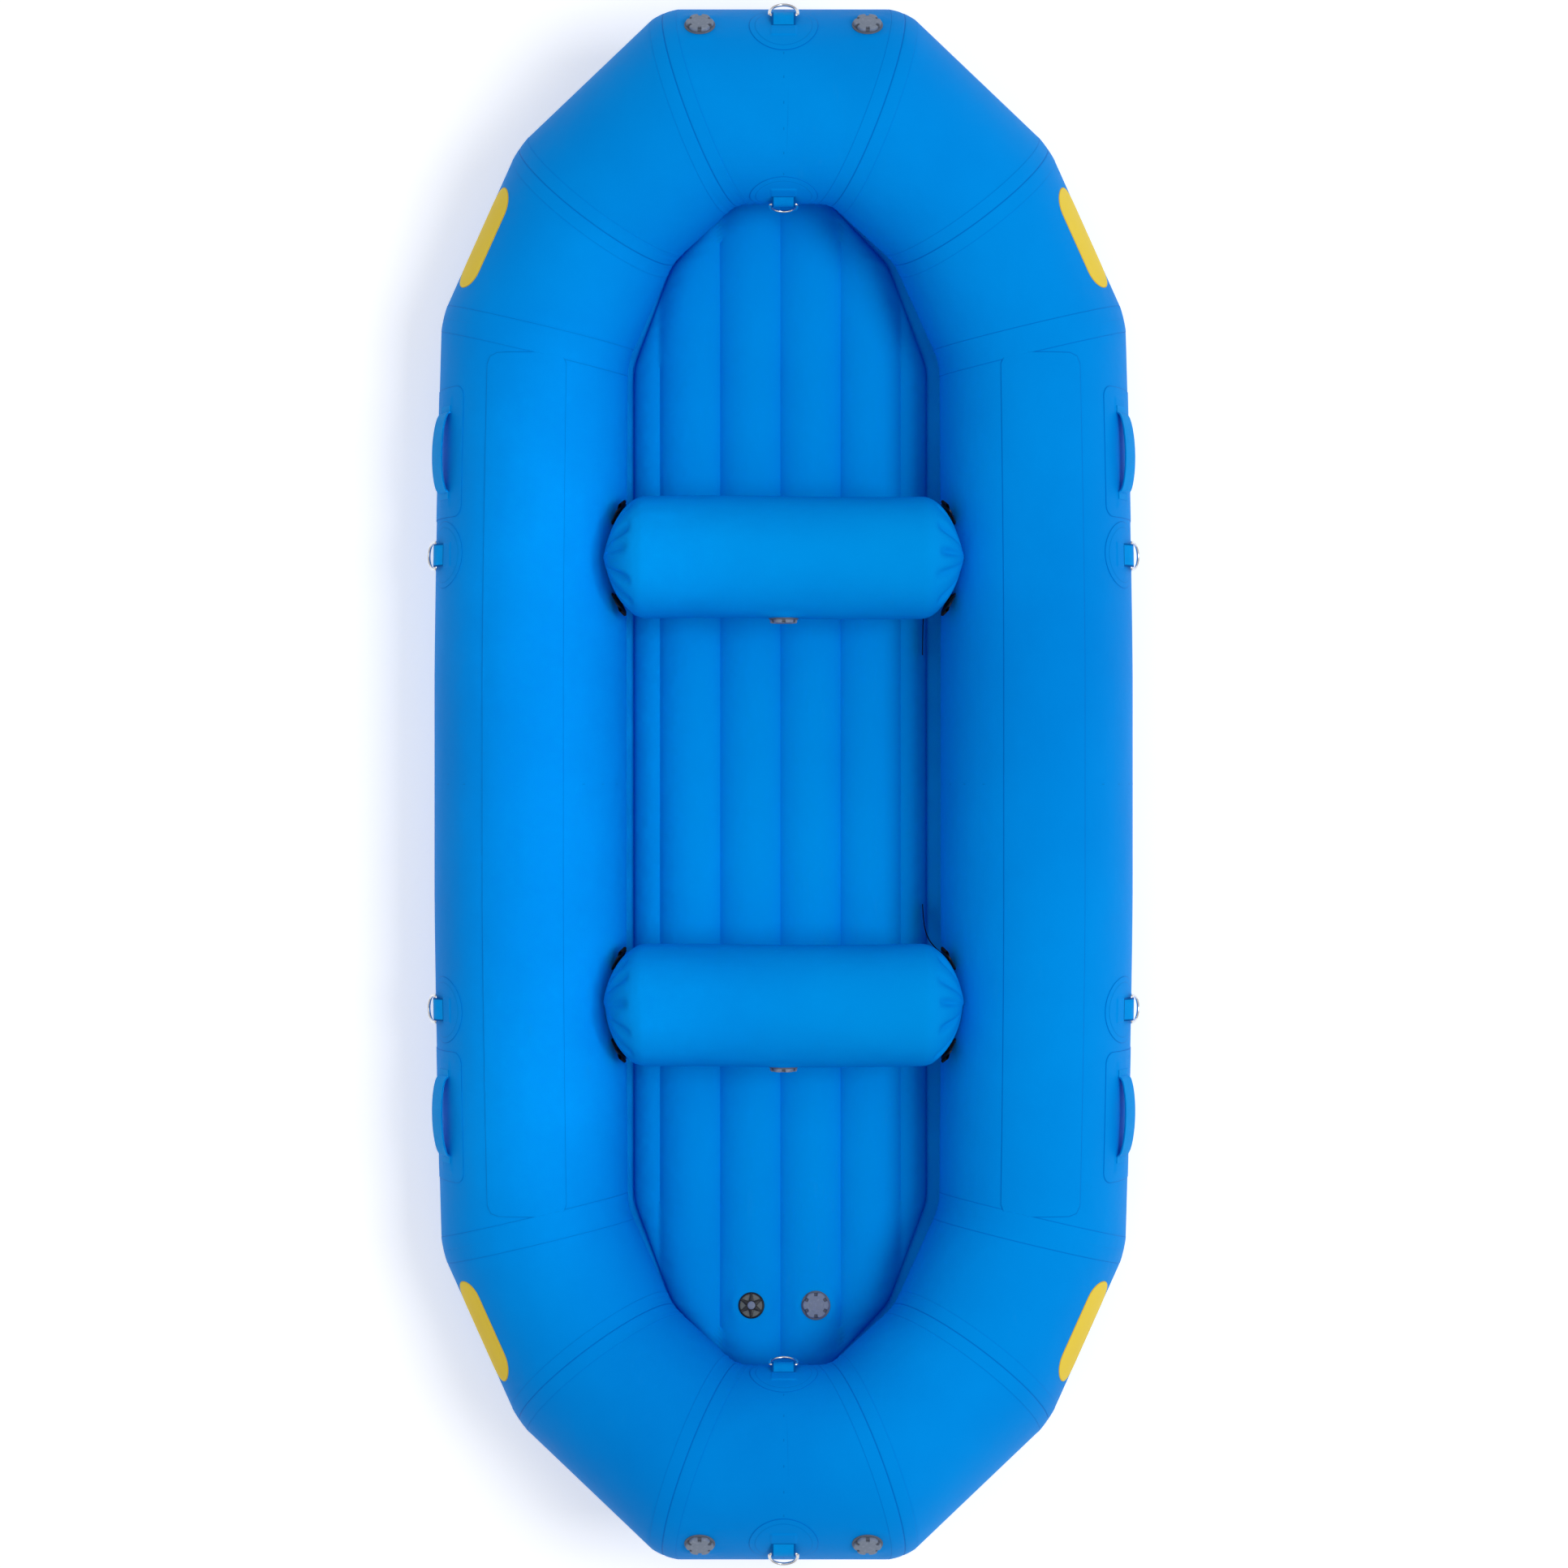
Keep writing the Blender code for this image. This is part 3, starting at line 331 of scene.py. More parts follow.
fabricLook = {
    "deep": paint(0, 128, 218),
    "bright": paint(0, 146, 236),
    "line": paint(0, 96, 190),
    "scuff": paint(40, 150, 225),
    "roughness": 0.50,
    "specular": 0.04,
    "sheenTint": (0.0, 0.36, 0.85, 1.0),
    "weavePitch": 0.0016,
}


def coatedFabric(name, look, marks=None, deep=None, bright=None):
    # base colour drifts between two blues; thin darker lines follow the seams; the weave only shows close up
    g = Graph(name)
    drift = g.noise(1.1, 2.0).rise(0.3, 0.7)
    cloud = g.noise(9.0, 3.0)
    tone = g.colour(drift * 0.65 + cloud * 0.35, deep or look["deep"], bright or look["bright"])
    scuffs = g.noise(38.0, 6.0, stretch=(1.0, 0.25, 1.0)).rise(0.62, 0.78) * g.noise(3.1, 1.0).rise(0.5, 0.75)
    tone = g.colour(scuffs * 0.18, tone, look["scuff"])
    height = g.noise(260.0, 2.0) * 0.35
    x, y, z = (axis * (2 * math.pi / look["weavePitch"]) for axis in g.axes())
    weave = x.wave() * y.wave() + y.wave() * z.wave() + z.wave() * x.wave()
    normal = g.bump(weave * 0.3 + height, 0.00012)
    normal = g.bump(g.noise(5.5, 3.0) + g.noise(17.0, 2.0) * 0.25, 0.0045, normal)
    if marks:
        line = None
        for attribute, middle, width, strength in marks:
            pulse = g.mark(attribute).near(middle, width) * strength
            line = pulse if line is None else line.atLeast(pulse)
        tone = g.colour(line, tone, look["line"])
        normal = g.bump(1 - line, 0.0006, normal)
    rough = look["roughness"] + cloud * 0.1 + scuffs * 0.15
    return g.finish(Base_Color=tone, Roughness=rough, Normal=normal, Specular_IOR_Level=look["specular"],
                    Specular_Tint=look["sheenTint"])


def webbing(name, deep, bright, roughness, edge=None):
    # ribs across the belt and a chevron along it, from the belt's own along and across values; painted shade in the
    # edge colour where the belt is marked
    g = Graph(name)
    along, across = g.mark("along"), g.mark("across")
    chevron = ((along + across.size() * 0.6) * 2600).wave()
    rib = (across * 2900).wave()
    yarn = chevron * 0.6 + rib * 0.4
    stitch = across.size().near(0.020, 0.0009) * (along * 1500).wave().rise(-0.1, 0.3)
    tone = g.colour(g.noise(60.0, 3.0) * 0.5 + yarn * 0.25 + 0.25, deep, bright)
    tone = g.colour(stitch * 0.5, tone, bright)
    # the edge colour is painted shade, laid where the belt's marks ask for it
    if edge:
        tone = g.colour(g.mark("rimmed").rise(0.3, 0.7) * 0.85, tone, edge)
    normal = g.bump(yarn + stitch, 0.0003)
    return g.finish(Base_Color=tone, Roughness=roughness + yarn * 0.06, Normal=normal, Specular_IOR_Level=0.05,
                    Specular_Tint=bright)


def stainlessSteel(name):
    # bright bar stock: fine drawn scratches, slightly duller in patches
    g = Graph(name)
    patches = g.noise(55.0, 4.0)
    scratches = g.noise(900.0, 2.0, stretch=(1.0, 1.0, 0.2))
    tone = g.colour(patches, paint(205, 206, 208), paint(236, 237, 240))
    normal = g.bump(scratches, 0.00003)
    return g.finish(Base_Color=tone, Metallic=1.0, Roughness=0.16 + patches * 0.16, Normal=normal)


def mouldedPlastic(name, deep, bright, roughness, notchShade=None):
    # fine moulded grain and paler rubbed patches; a cap also has the mould's faint rings, and painted shade darkening
    # its notches
    g = Graph(name)
    grain = g.noise(1400.0, 3.0)
    rubbed = g.noise(120.0, 4.0).rise(0.5, 0.72)
    tone = g.colour(rubbed * 0.45 + grain * 0.3 + 0.15, deep, bright)
    height = grain * 0.5
    if notchShade:
        height = height + (g.mark("radius") * 2400).wave() * 0.35
        # painted shade: the notches are darkened where they sink into the crown
        tone = g.colour(g.mark("notch") * 0.8, tone, notchShade)
    normal = g.bump(height, 0.00018)
    return g.finish(Base_Color=tone, Roughness=roughness + rubbed * 0.15, Normal=normal, Specular_IOR_Level=0.4)


# lines drawn on the fabric: the mesh value they follow, where it stands, their half width and their strength
seamMarks = (("seam", 0.0, 0.0022, 0.75), ("seam", 0.032, 0.0016, 0.28), ("tape", 0.032, 0.0018, 0.5),
             ("joint", 1.0, 0.0022, 0.25))
rimMarks = (("rim", 0.0006, 0.0018, 0.7),)
tubeFabric = coatedFabric("tubeFabric", fabricLook, seamMarks)
patchFabric = coatedFabric("patchFabric", fabricLook, rimMarks)
discFabric = coatedFabric("discFabric", fabricLook, rimMarks + (("rim", 0.014, 0.0014, 0.45),))
# the floor's blues are paler than the tubes' to make up for the shade the tubes cast on it: painted light
floorFabricPaintedLight = coatedFabric("floorFabricPaintedLight", fabricLook, None, paint(0, 144, 228), paint(0, 158, 242))
# the skirt's blues are paler still, as painted light in the narrow, shaded slot under the tubes
skirtFabricPaintedLight = coatedFabric("skirtFabricPaintedLight", fabricLook, None, paint(0, 152, 232), paint(10, 174, 248))
thwartFabric = coatedFabric("thwartFabric", fabricLook, None, paint(0, 132, 220), paint(0, 148, 232))
baffleFabric = coatedFabric("baffleFabric", fabricLook, None, paint(0, 104, 190), paint(0, 120, 200))
yellowLook = dict(fabricLook, line=paint(190, 150, 30), scuff=paint(240, 222, 140), sheenTint=(1.0, 0.9, 0.6, 1.0))
yellowFabric = coatedFabric("yellowFabric", yellowLook, rimMarks, paint(226, 194, 56), paint(240, 214, 84))
# the last colour is painted shade for the edges, the fold over the bar and the slit
blueWebbing = webbing("blueWebbing", paint(0, 138, 226), paint(0, 160, 246), 0.55, paint(0, 74, 156))
blackWebbing = webbing("blackWebbing", paint(10, 11, 14), paint(36, 38, 44), 0.6)
blackPlastic = mouldedPlastic("blackPlastic", paint(12, 13, 16), paint(34, 36, 40), 0.38)
# the last colour is painted shade for the cap's notches
capPlastic = mouldedPlastic("capPlastic", paint(106, 118, 138), paint(142, 151, 170), 0.5, paint(58, 62, 72))
bodyPlastic = mouldedPlastic("bodyPlastic", paint(80, 88, 104), paint(108, 116, 132), 0.5)
reliefPlastic = mouldedPlastic("reliefPlastic", paint(14, 15, 18), paint(40, 42, 48), 0.42)
membranePlastic = mouldedPlastic("membranePlastic", paint(86, 92, 92), paint(118, 122, 120), 0.55)
steel = stainlessSteel("steel")
print("materials ready")


# the tube ring: axis and radius of one quarter, carried round by reflection; folds are place, strength, width

tubeRing = {
    "sideX": 0.605, "sideRadius": 0.2286,
    "taperStart": 0.25, "taperLength": 0.812, "taperX": 0.010, "taperRadius": 0.0061,
    "mitres": ((0.595, 1.062, 0.2234), (0.443, 1.374, 0.2929), (0.1925, 1.573, 0.4249)),
    "radii": (0.2225, 0.2212, 0.220),
    "fadeStart": 0.55, "mitreLift": 0.0009,
    "wall": 0.0012, "tapeHalf": 0.032, "tapeHeight": 0.0008, "tapeStep": 0.0006, "seamDip": 0.0007,
    "cornerReach": 0.037, "cornerCrease": 0.35, "insideCrisp": 0.45,
    "around": 168, "sideRows": 44, "panelRows": 16,
    "creaseDepth": 0.0021, "creaseWidth": 0.0042, "creaseShares": (0.55, 0.8, 1.0), "jointX": 0.009,
    "folds": ((0.009, 1.0, 1.0), (0.023, 0.8, 1.0), (0.041, 0.6, 1.4)), "seamDipHalf": 0.0025,
    "firstRun": (0.602, 0.63), "bendProbe": 0.08, "liningStep": 6, "liningMark": 0.1,
}
mitres = [np.array(point) for point in tubeRing["mitres"]]
runs = [unit(np.array([*(mitres[0][:2] - tubeRing["firstRun"]), 0]))]
runs += [unit(mitres[1] - mitres[0]), unit(mitres[2] - mitres[1]), -starboard]
mitreNormals = [unit(a + b) for a, b in zip(runs, runs[1:])]


def reflected(vector, normal):
    return vector - 2 * (vector @ normal) * normal


frames = [(np.cross(runs[0], up), up, runs[0])]
for mitreNormal in mitreNormals:
    across, rise, along = frames[-1]
    frames.append((reflected(across, mitreNormal), reflected(rise, mitreNormal), -reflected(along, mitreNormal)))


def radial(index, phi):
    across, rise, _ = frames[index]
    return np.cos(phi)[..., None] * across + np.sin(phi)[..., None] * rise


def mitreRing(index, phi):
    # a circle about the mitre point, each point carried along the tube to the mitre plane
    ring = mitres[index] + tubeRing["radii"][index] * radial(index, phi)
    along, normal = frames[index][2], mitreNormals[index]
    carry = ((mitres[index] - ring) @ normal) / (along @ normal)
    return ring + carry[..., None] * along


def sideAxis(y):
    # centre and radius of the side tube: constant amidships, tapering with a power of the distance
    share = np.clip((np.abs(y) - tubeRing["taperStart"]) / tubeRing["taperLength"], 0, None)
    x = tubeRing["sideX"] - tubeRing["taperX"] * share**1.6
    radius = tubeRing["sideRadius"] - tubeRing["taperRadius"] * share**1.23
    return x, radius, radius + tubeRing["mitreLift"] * share**2


def sideRound(y, phi, lift=0.0):
    # a round section of the side tube, before it is fitted to its mitre
    x, radius, z = sideAxis(y)
    reach = radius + lift
    return np.stack(np.broadcast_arrays(x + reach * np.cos(phi), y, z + reach * np.sin(phi)), axis=-1)


def sideSurface(y, phi, lift=0.0):
    # the round section plus a correction that grows from 0 to the full miss at the mitre
    y, phi = np.broadcast_arrays(np.asarray(y, float), np.asarray(phi, float))
    ring = mitreRing(0, phi)
    miss = ring - sideRound(ring[..., 1], phi)
    grow = smooth((np.abs(y) - tubeRing["fadeStart"]) / (ring[..., 1] - tubeRing["fadeStart"]))
    miss = miss * grow[..., None]
    miss[..., 1] *= np.sign(y)
    return sideRound(y, phi, lift) + miss


def seamBend(index, phi):
    # the mitre ring, with the unit directions back and ahead along each lengthwise line
    ring = mitreRing(index, phi)
    if index == 0:
        before = sideSurface(ring[..., 1] - tubeRing["bendProbe"], phi)
    else:
        before = mitreRing(index - 1, phi)
    after = mirrored(ring, -1) if index == 2 else mitreRing(index + 1, phi)
    back, ahead = unit(before - ring), unit(after - ring)
    return ring, back + ahead, np.abs(ahead @ mitreNormals[index])


def cornerShift(distance, bend, cosine):
    # rounds a kinked line: part chord, part parabola, both gone at a reach that is shorter inside the bend
    reach = tubeRing["cornerReach"] * (1 - tubeRing["insideCrisp"] * hump(phiRing, math.pi, 1.0)) / cosine
    left = np.clip(reach - distance / cosine, 0, None)
    crease = tubeRing["cornerCrease"]
    return bend * (crease * left / 2 + (1 - crease) * left**2 / (4 * reach))[..., None]


def tapeLift(distance, dips=1.0):
    # the seam tape stands proud within its half width, and the joint dips in its middle
    step = smooth((tubeRing["tapeHalf"] - distance) / tubeRing["tapeStep"] + 0.5)
    dip = np.clip(1 - distance / tubeRing["seamDipHalf"], 0, 1)
    return tubeRing["tapeHeight"] * step - tubeRing["seamDip"] * dips * dip


def creases(distance, phi, index):
    # short folds that run round the inside of each bend, where the fabric is short of room
    inside = hump(phi, math.pi + 0.15, 0.62) * tubeRing["creaseShares"][index]
    folds = sum(deep * hump(distance, at, tubeRing["creaseWidth"] * wide) for at, deep, wide in tubeRing["folds"])
    return -tubeRing["creaseDepth"] * inside * folds * (0.8 + 0.2 * np.sin(9 * phi + 2 * index))


# distances from a mitre plane where rows of points lie, closest at the joint and at the tape's edge
seamRows = np.array([0, 0.0012, 0.003, 0.006, 0.009, 0.012, 0.016, 0.0195, 0.023, 0.0265, 0.030, 0.0316])
seamRows = np.concatenate([seamRows, [0.0324, 0.0335, 0.037, 0.041, 0.046, 0.054]])
phiRing = circle(tubeRing["around"])


def spacedRows(length, startCosine, stopCosine, middle):
    # rows close together at both seams, by distance from each mitre plane, and evenly spaced between
    first = seamRows[:, None] / startCosine
    last = (length - seamRows[:, None] / stopCosine)[::-1]
    share = np.linspace(0, 1, middle + 2)[1:-1, None]
    return np.concatenate([first, first[-1] + share * (last[0] - first[-1]), last])


def panelGrid(index, end, side, flatten=None):
    # straight lines between two mitre rings, lifted by tape and folds and rounded at both seams
    start, startBend, startCosine = seamBend(index, phiRing)
    if index == 2:
        stop, stopBend, stopCosine = mirrored(start, -1), mirrored(startBend, -1), startCosine
        stopIndex = 2
    else:
        stop, stopBend, stopCosine = seamBend(index + 1, phiRing)
        stopIndex = index + 1
    length = np.linalg.norm(stop - start, axis=1)
    ahead = (stop - start) / length[:, None]
    rows = spacedRows(length, startCosine, stopCosine, tubeRing["panelRows"])
    fromStart, fromStop = rows * startCosine, (length - rows) * stopCosine
    lift = tapeLift(np.minimum(fromStart, fromStop), np.where(fromStart < fromStop, index > 0, 1.0))
    lift = lift + creases(fromStart, phiRing, index) + creases(fromStop, phiRing, stopIndex)
    outward = radial(index + 1, phiRing)
    skin = start + rows[..., None] * ahead
    skin = skin + cornerShift(fromStart, startBend, startCosine) + cornerShift(fromStop, stopBend, stopCosine)
    skin = skin + lift[..., None] * outward
    seam = fromStop if index == 0 else np.minimum(fromStart, fromStop)
    panel = wrapped(skin, outward, seam, fromStart if index == 0 else fromStart + 1, side, end, flatten)
    if index == 2:  # the end panel is joined along its middle: 1 on the joint, less away from it
        panel["values"]["joint"] = 1 - np.abs(panel["points"][..., 0] - tubeRing["jointX"])
    return panel


def wrapped(skin, outward, seam, tape, side, end, flatten=None):
    # closes a tube panel: the outer skin, and a lining one wall inside it, joined at both ends
    skin, step = mirrored(skin, side, end), tubeRing["liningStep"]
    if flatten:
        skin = flatten(skin)
    wall = tubeRing["wall"] * mirrored(outward, side, end)
    lining = skin[::-step] - wall
    if (len(skin) - 1) % step:
        lining = np.concatenate([lining, skin[:1] - wall])
    points = np.concatenate([skin, lining])
    inside = np.full((len(lining), seam.shape[1]), tubeRing["liningMark"])  # away from every line's place
    values = {"seam": np.concatenate([seam, inside]), "tape": np.concatenate([tape, inside])}
    return grid(points, wrapRows=True, wrapColumns=True, **values)


def sideGrid(side):
    # both halves of a side tube, from the stern mitre to the bow mitre
    ring, bend, cosine = seamBend(0, phiRing)
    reach = ring[:, 1]
    rows = spacedRows(2 * reach, cosine, cosine, tubeRing["sideRows"])
    y = rows - reach
    distance = (reach - np.abs(y)) * cosine
    shift = cornerShift(distance, bend, cosine)
    shift[..., 1] *= np.sign(y)
    lift = tapeLift(distance, 0.0) + creases(distance, phiRing, 0)
    skin = sideSurface(y, np.broadcast_to(phiRing, y.shape)) + shift
    outward = radial(0, phiRing)
    return wrapped(skin + lift[..., None] * outward, outward, distance + 1, distance, side, 1)


# places on the ring: each maps (along, downhill, height) in metres to points

def onSide(side, y0, phi0):
    def place(u, v, h):
        x, radius, _ = sideAxis(y0)
        return mirrored(sideSurface(y0 + u, phi0 - v / radius, h), side)
    return place


def onEnd(end, x0, alpha0):
    # alpha runs from the crown outboard, on the end panel's round section
    centre, radius = mitres[2] * (0, 1, 1), tubeRing["radii"][2]

    def place(u, v, h):
        alpha = alpha0 + math.copysign(1, alpha0) * v / radius
        reach = radius + h
        parts = (x0 + u, centre[1] + reach * np.sin(alpha), centre[2] + reach * np.cos(alpha))
        return mirrored(np.stack(np.broadcast_arrays(*parts), axis=-1), 1, end)
    return place


def onShoulder(side, end, share, phi0):
    radius = tubeRing["radii"][0]

    def place(u, v, h):
        phi = phi0 - v / radius
        low, high = mitreRing(0, phi), mitreRing(1, phi)
        length = np.linalg.norm(high - low, axis=-1)
        t = (share + u / length)[..., None]
        return mirrored(low + (high - low) * t + np.asarray(h)[..., None] * radial(1, phi), side, end)
    return place


def seatOf(place):
    # the frame of a place: point, along the bar, downhill, outward
    zero, small = np.zeros(1), np.full(1, 0.001)
    point = place(zero, zero, zero)[0]
    outward = unit(place(zero, zero, small)[0] - point)
    downhill = unit(place(zero, small, zero)[0] - place(zero, -small, zero)[0])
    downhill = unit(downhill - (downhill @ outward) * outward)
    return point, np.cross(downhill, outward), downhill, outward


def flatDisc(seats, flat, blend, depth):
    # presses the skin onto a plane within a radius of each seat, and lets go by a larger one
    def press(points):
        for point, _, _, outward in seats:
            offset = points - point
            height = offset @ outward
            ring = np.linalg.norm(offset - height[..., None] * outward, axis=-1)
            hold = (1 - smooth((ring - flat) / (blend - flat))) * (np.abs(height) < 0.03)
            points = points + ((-depth - height) * hold)[..., None] * outward
        return points
    return press


# the end tubes' valves; a press is its flat radius, the radius where it ends, and its depth
valveSeat = {"x": 0.190, "alpha": math.radians(42), "press": (0.037, 0.066, 0.0004)}
tubeValves = {}
for endName, end in ends.items():
    for sideName, side in sides.items():
        point, along, _, outward = seatOf(onEnd(end, side * valveSeat["x"], valveSeat["alpha"]))
        tubeValves[endName + sideName] = (point, along, np.cross(outward, along), outward)


def tubePanel(kind, names, panel):
    # a tube's piece and the solid that it stands for, both named after its kind and place
    makePiece(kind + "Tube" + "".join(names), [panel], tubeFabric,
              stands=[nodeName(kind, "tube", *names)])


for sideName, side in sides.items():
    tubePanel("side", [sideName], sideGrid(side))
    for endName, end in ends.items():
        for index, kind in enumerate(("shoulder", "quarter")):
            tubePanel(kind, [endName, sideName], panelGrid(index, end, side))
for endName, end in ends.items():
    press = flatDisc([tubeValves[endName + sideName] for sideName in sides], *valveSeat["press"])
    tubePanel("end", [endName], panelGrid(2, end, 1, press))
for name in ("bow", "stern", "port", "starboard"):  # the baffles stay as they are inside the tubes
    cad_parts["baffle_" + name].data.materials[0] = baffleFabric
print("tube ring ready")


# patches welded on the ring

patchShape = {
    "thickness": 0.0011, "bevel": 0.0009, "sunk": 0.0007,
    "stripHalfLength": 1.003, "stripHalfAngle": math.radians(24.5), "corner": 0.026,
    "baseLength": 0.308, "baseTop": math.radians(48), "baseBottom": math.radians(-5),
    "barLength": 0.254, "barWidth": 0.108, "barPhi": math.radians(26),
}


def roundedOutline(length, width, corner, spacing):
    # a rectangle with quarter-circle corners, as points at even spacing along its edge
    a, b = length / 2 - corner, width / 2 - corner
    turn = np.linspace(0, math.pi / 2, 9)
    arc = corner * np.stack([np.cos(turn), np.sin(turn)], axis=1)
    sidesOut = []
    for quarter, (x, y) in enumerate(((a, b), (-a, b), (-a, -b), (a, -b))):
        angle = quarter * math.pi / 2
        spin = np.array([[math.cos(angle), math.sin(angle)], [-math.sin(angle), math.cos(angle)]])
        sidesOut.append(arc @ spin + (x, y))
    loop = np.concatenate(sidesOut + [sidesOut[0][:1]])
    run = runLength(loop)
    count = 4 * max(round(run[-1] / spacing / 4), 6)
    even = np.linspace(0, run[-1], count + 1)[:-1]
    return np.stack([np.interp(even, run, loop[:, k]) for k in (0, 1)], axis=1)


def patchGrid(place, outline, step, bulge=None):
    # rings shrink from the outline to its middle line; the top stands proud and the back is sunk
    half = np.abs(outline).max(axis=0)
    bevel = patchShape["bevel"]
    deep = half.min()
    inner = np.linspace(bevel * 2.5, deep, max(int(deep / step), 5))
    insets = np.concatenate([[0, bevel * 0.35, bevel], inner])
    rise = np.concatenate([[0.0, 0.75, 1.0], np.ones(len(inner))]) * patchShape["thickness"]

    def ring(steps):
        return [outline[:, k] * (1 - steps[:, None] / half[k]) for k in (0, 1)]

    u, v = ring(insets)
    height = np.repeat(rise[:, None], len(outline), axis=1)
    if bulge:
        height = height + bulge(u, v)
    back = place(*ring(np.array([0, 0.5, 1.0]) * deep), np.full((3, len(outline)), -patchShape["sunk"]))
    points = np.concatenate([place(u, v, height)[::-1], back])
    rim = np.concatenate([insets[::-1], np.full(3, 0.05)])
    return grid(points, wrapColumns=True, rim=np.repeat(rim[:, None], len(outline), axis=1))


sideRadius = tubeRing["sideRadius"]
for sideName, side in sides.items():
    outline = roundedOutline(2 * patchShape["stripHalfLength"], 2 * patchShape["stripHalfAngle"] * sideRadius,
                             patchShape["corner"], 0.02)
    makePiece("wearStrip" + sideName, [patchGrid(onSide(side, 0, math.pi / 2), outline, 0.008)],
              patchFabric)
    for endName, end in ends.items():
        place = onShoulder(side, end, 0.5, patchShape["barPhi"])
        wide = patchShape["barWidth"]
        outline = roundedOutline(patchShape["barLength"], wide, wide / 2.001, 0.006)  # its ends are half round
        makePiece(f"colourBar{endName}{sideName}", [patchGrid(place, outline, 0.005)], yellowFabric)
print("wear strips and colour bars ready")


# handles and their base patches; edge is how far the painted edge shade reaches in and how soft it is

handleShape = {
    "y": 0.78, "phi": math.radians(30), "width": 0.050, "thickness": 0.0036, "span": 0.187,
    "height": 0.021, "fullness": 0.4, "tail": 0.016, "emboss": 0.0016, "embossLength": 0.034,
    "seated": 0.0026, "sunk": -0.0004, "edge": (0.0018, 0.0008),
}


def handleGrid(place):
    # the loop's height over the tube follows a cosine to a power; its ends dive into the base patch
    half = handleShape["span"] / 2
    u = np.linspace(-half, half, 49)
    h = handleShape["height"] * np.cos(np.pi * u / handleShape["span"]).clip(0) ** handleShape["fullness"]
    tail = np.linspace(handleShape["tail"], 0, 5)[:-1]
    u = np.concatenate([-half - tail, u, half + tail[::-1]])
    h = np.pad(h, len(tail), constant_values=handleShape["sunk"]) + handleShape["seated"]
    shape = (handleShape["width"], handleShape["thickness"])
    # the handle's edges get the painted shade at half strength
    return placedBelt(place, np.stack([u, h], axis=1), shape, handleShape["edge"], True, u, rim=0.35, dark=0.5)[0]


def handleBulge(v0):
    # the webbing's ends show through the base patch as two soft rectangles past the loop
    half = handleShape["span"] / 2

    def bulge(u, v):
        out = np.abs(u) - half
        long = smooth(out / 0.002 + 0.5) * (1 - smooth((out - handleShape["embossLength"]) / 0.006))
        wide = 1 - smooth((np.abs(v - v0) - handleShape["width"] / 2) / 0.004)
        return handleShape["emboss"] * long * wide
    return bulge


for sideName, side in sides.items():
    for endName, end in ends.items():
        middle = (patchShape["baseTop"] + patchShape["baseBottom"]) / 2
        width = (patchShape["baseTop"] - patchShape["baseBottom"]) * sideRadius
        place = onSide(side, end * handleShape["y"], middle)
        outline = roundedOutline(patchShape["baseLength"], width, patchShape["corner"], 0.006)
        drop = (middle - handleShape["phi"]) * sideRadius
        makePiece(f"handleBase{endName}{sideName}", [patchGrid(place, outline, 0.0035, handleBulge(drop))],
                  patchFabric)
        place = onSide(side, end * handleShape["y"], handleShape["phi"])
        makePiece(f"handle{endName}{sideName}", [handleGrid(place)], blueWebbing,
                  stands=[nodeName("handle", endName, sideName)])
print("handles ready")


# D-rings on their round patches

ringShape = {
    "discRadius": 0.079, "innerDisc": 0.065, "webWidth": 0.054, "webThickness": 0.0016,
    "slit": -0.003, "embossEnd": -0.038, "emboss": 0.0018,
    "offset": 0.030, "barHeight": 0.0071, "wire": 0.007, "play": 0.0007,
    "halfWidth": 0.032, "corner": 0.0045, "leg": 0.010, "discStep": 0.0005, "webLift": 0.0021,
    "underLift": 0.0022, "edge": (0.0022, 0.001), "lip": (0.0022, 0.0018),
    "sidePhi": 30, "sideSpots": (("Fore", 0.540), ("Aft", -0.530)), "sideCurve": 0.2265,
    "endSpots": (("Outer", 42), ("Inner", -78)), "endCurve": 0.220,
}


def ringBulge(u, v):
    # a second, smaller disc under the top one, and the webbing's end from the slit uphill
    inner = ringShape["discStep"] * (1 - smooth((np.hypot(u, v) - ringShape["innerDisc"]) / 0.0012))
    wide = 1 - smooth((np.abs(u) - ringShape["webWidth"] / 2) / 0.0035)
    long = smooth((v - ringShape["embossEnd"]) / 0.005) * (1 - smooth((v - ringShape["slit"]) / 0.0022))
    return inner + ringShape["emboss"] * wide * long


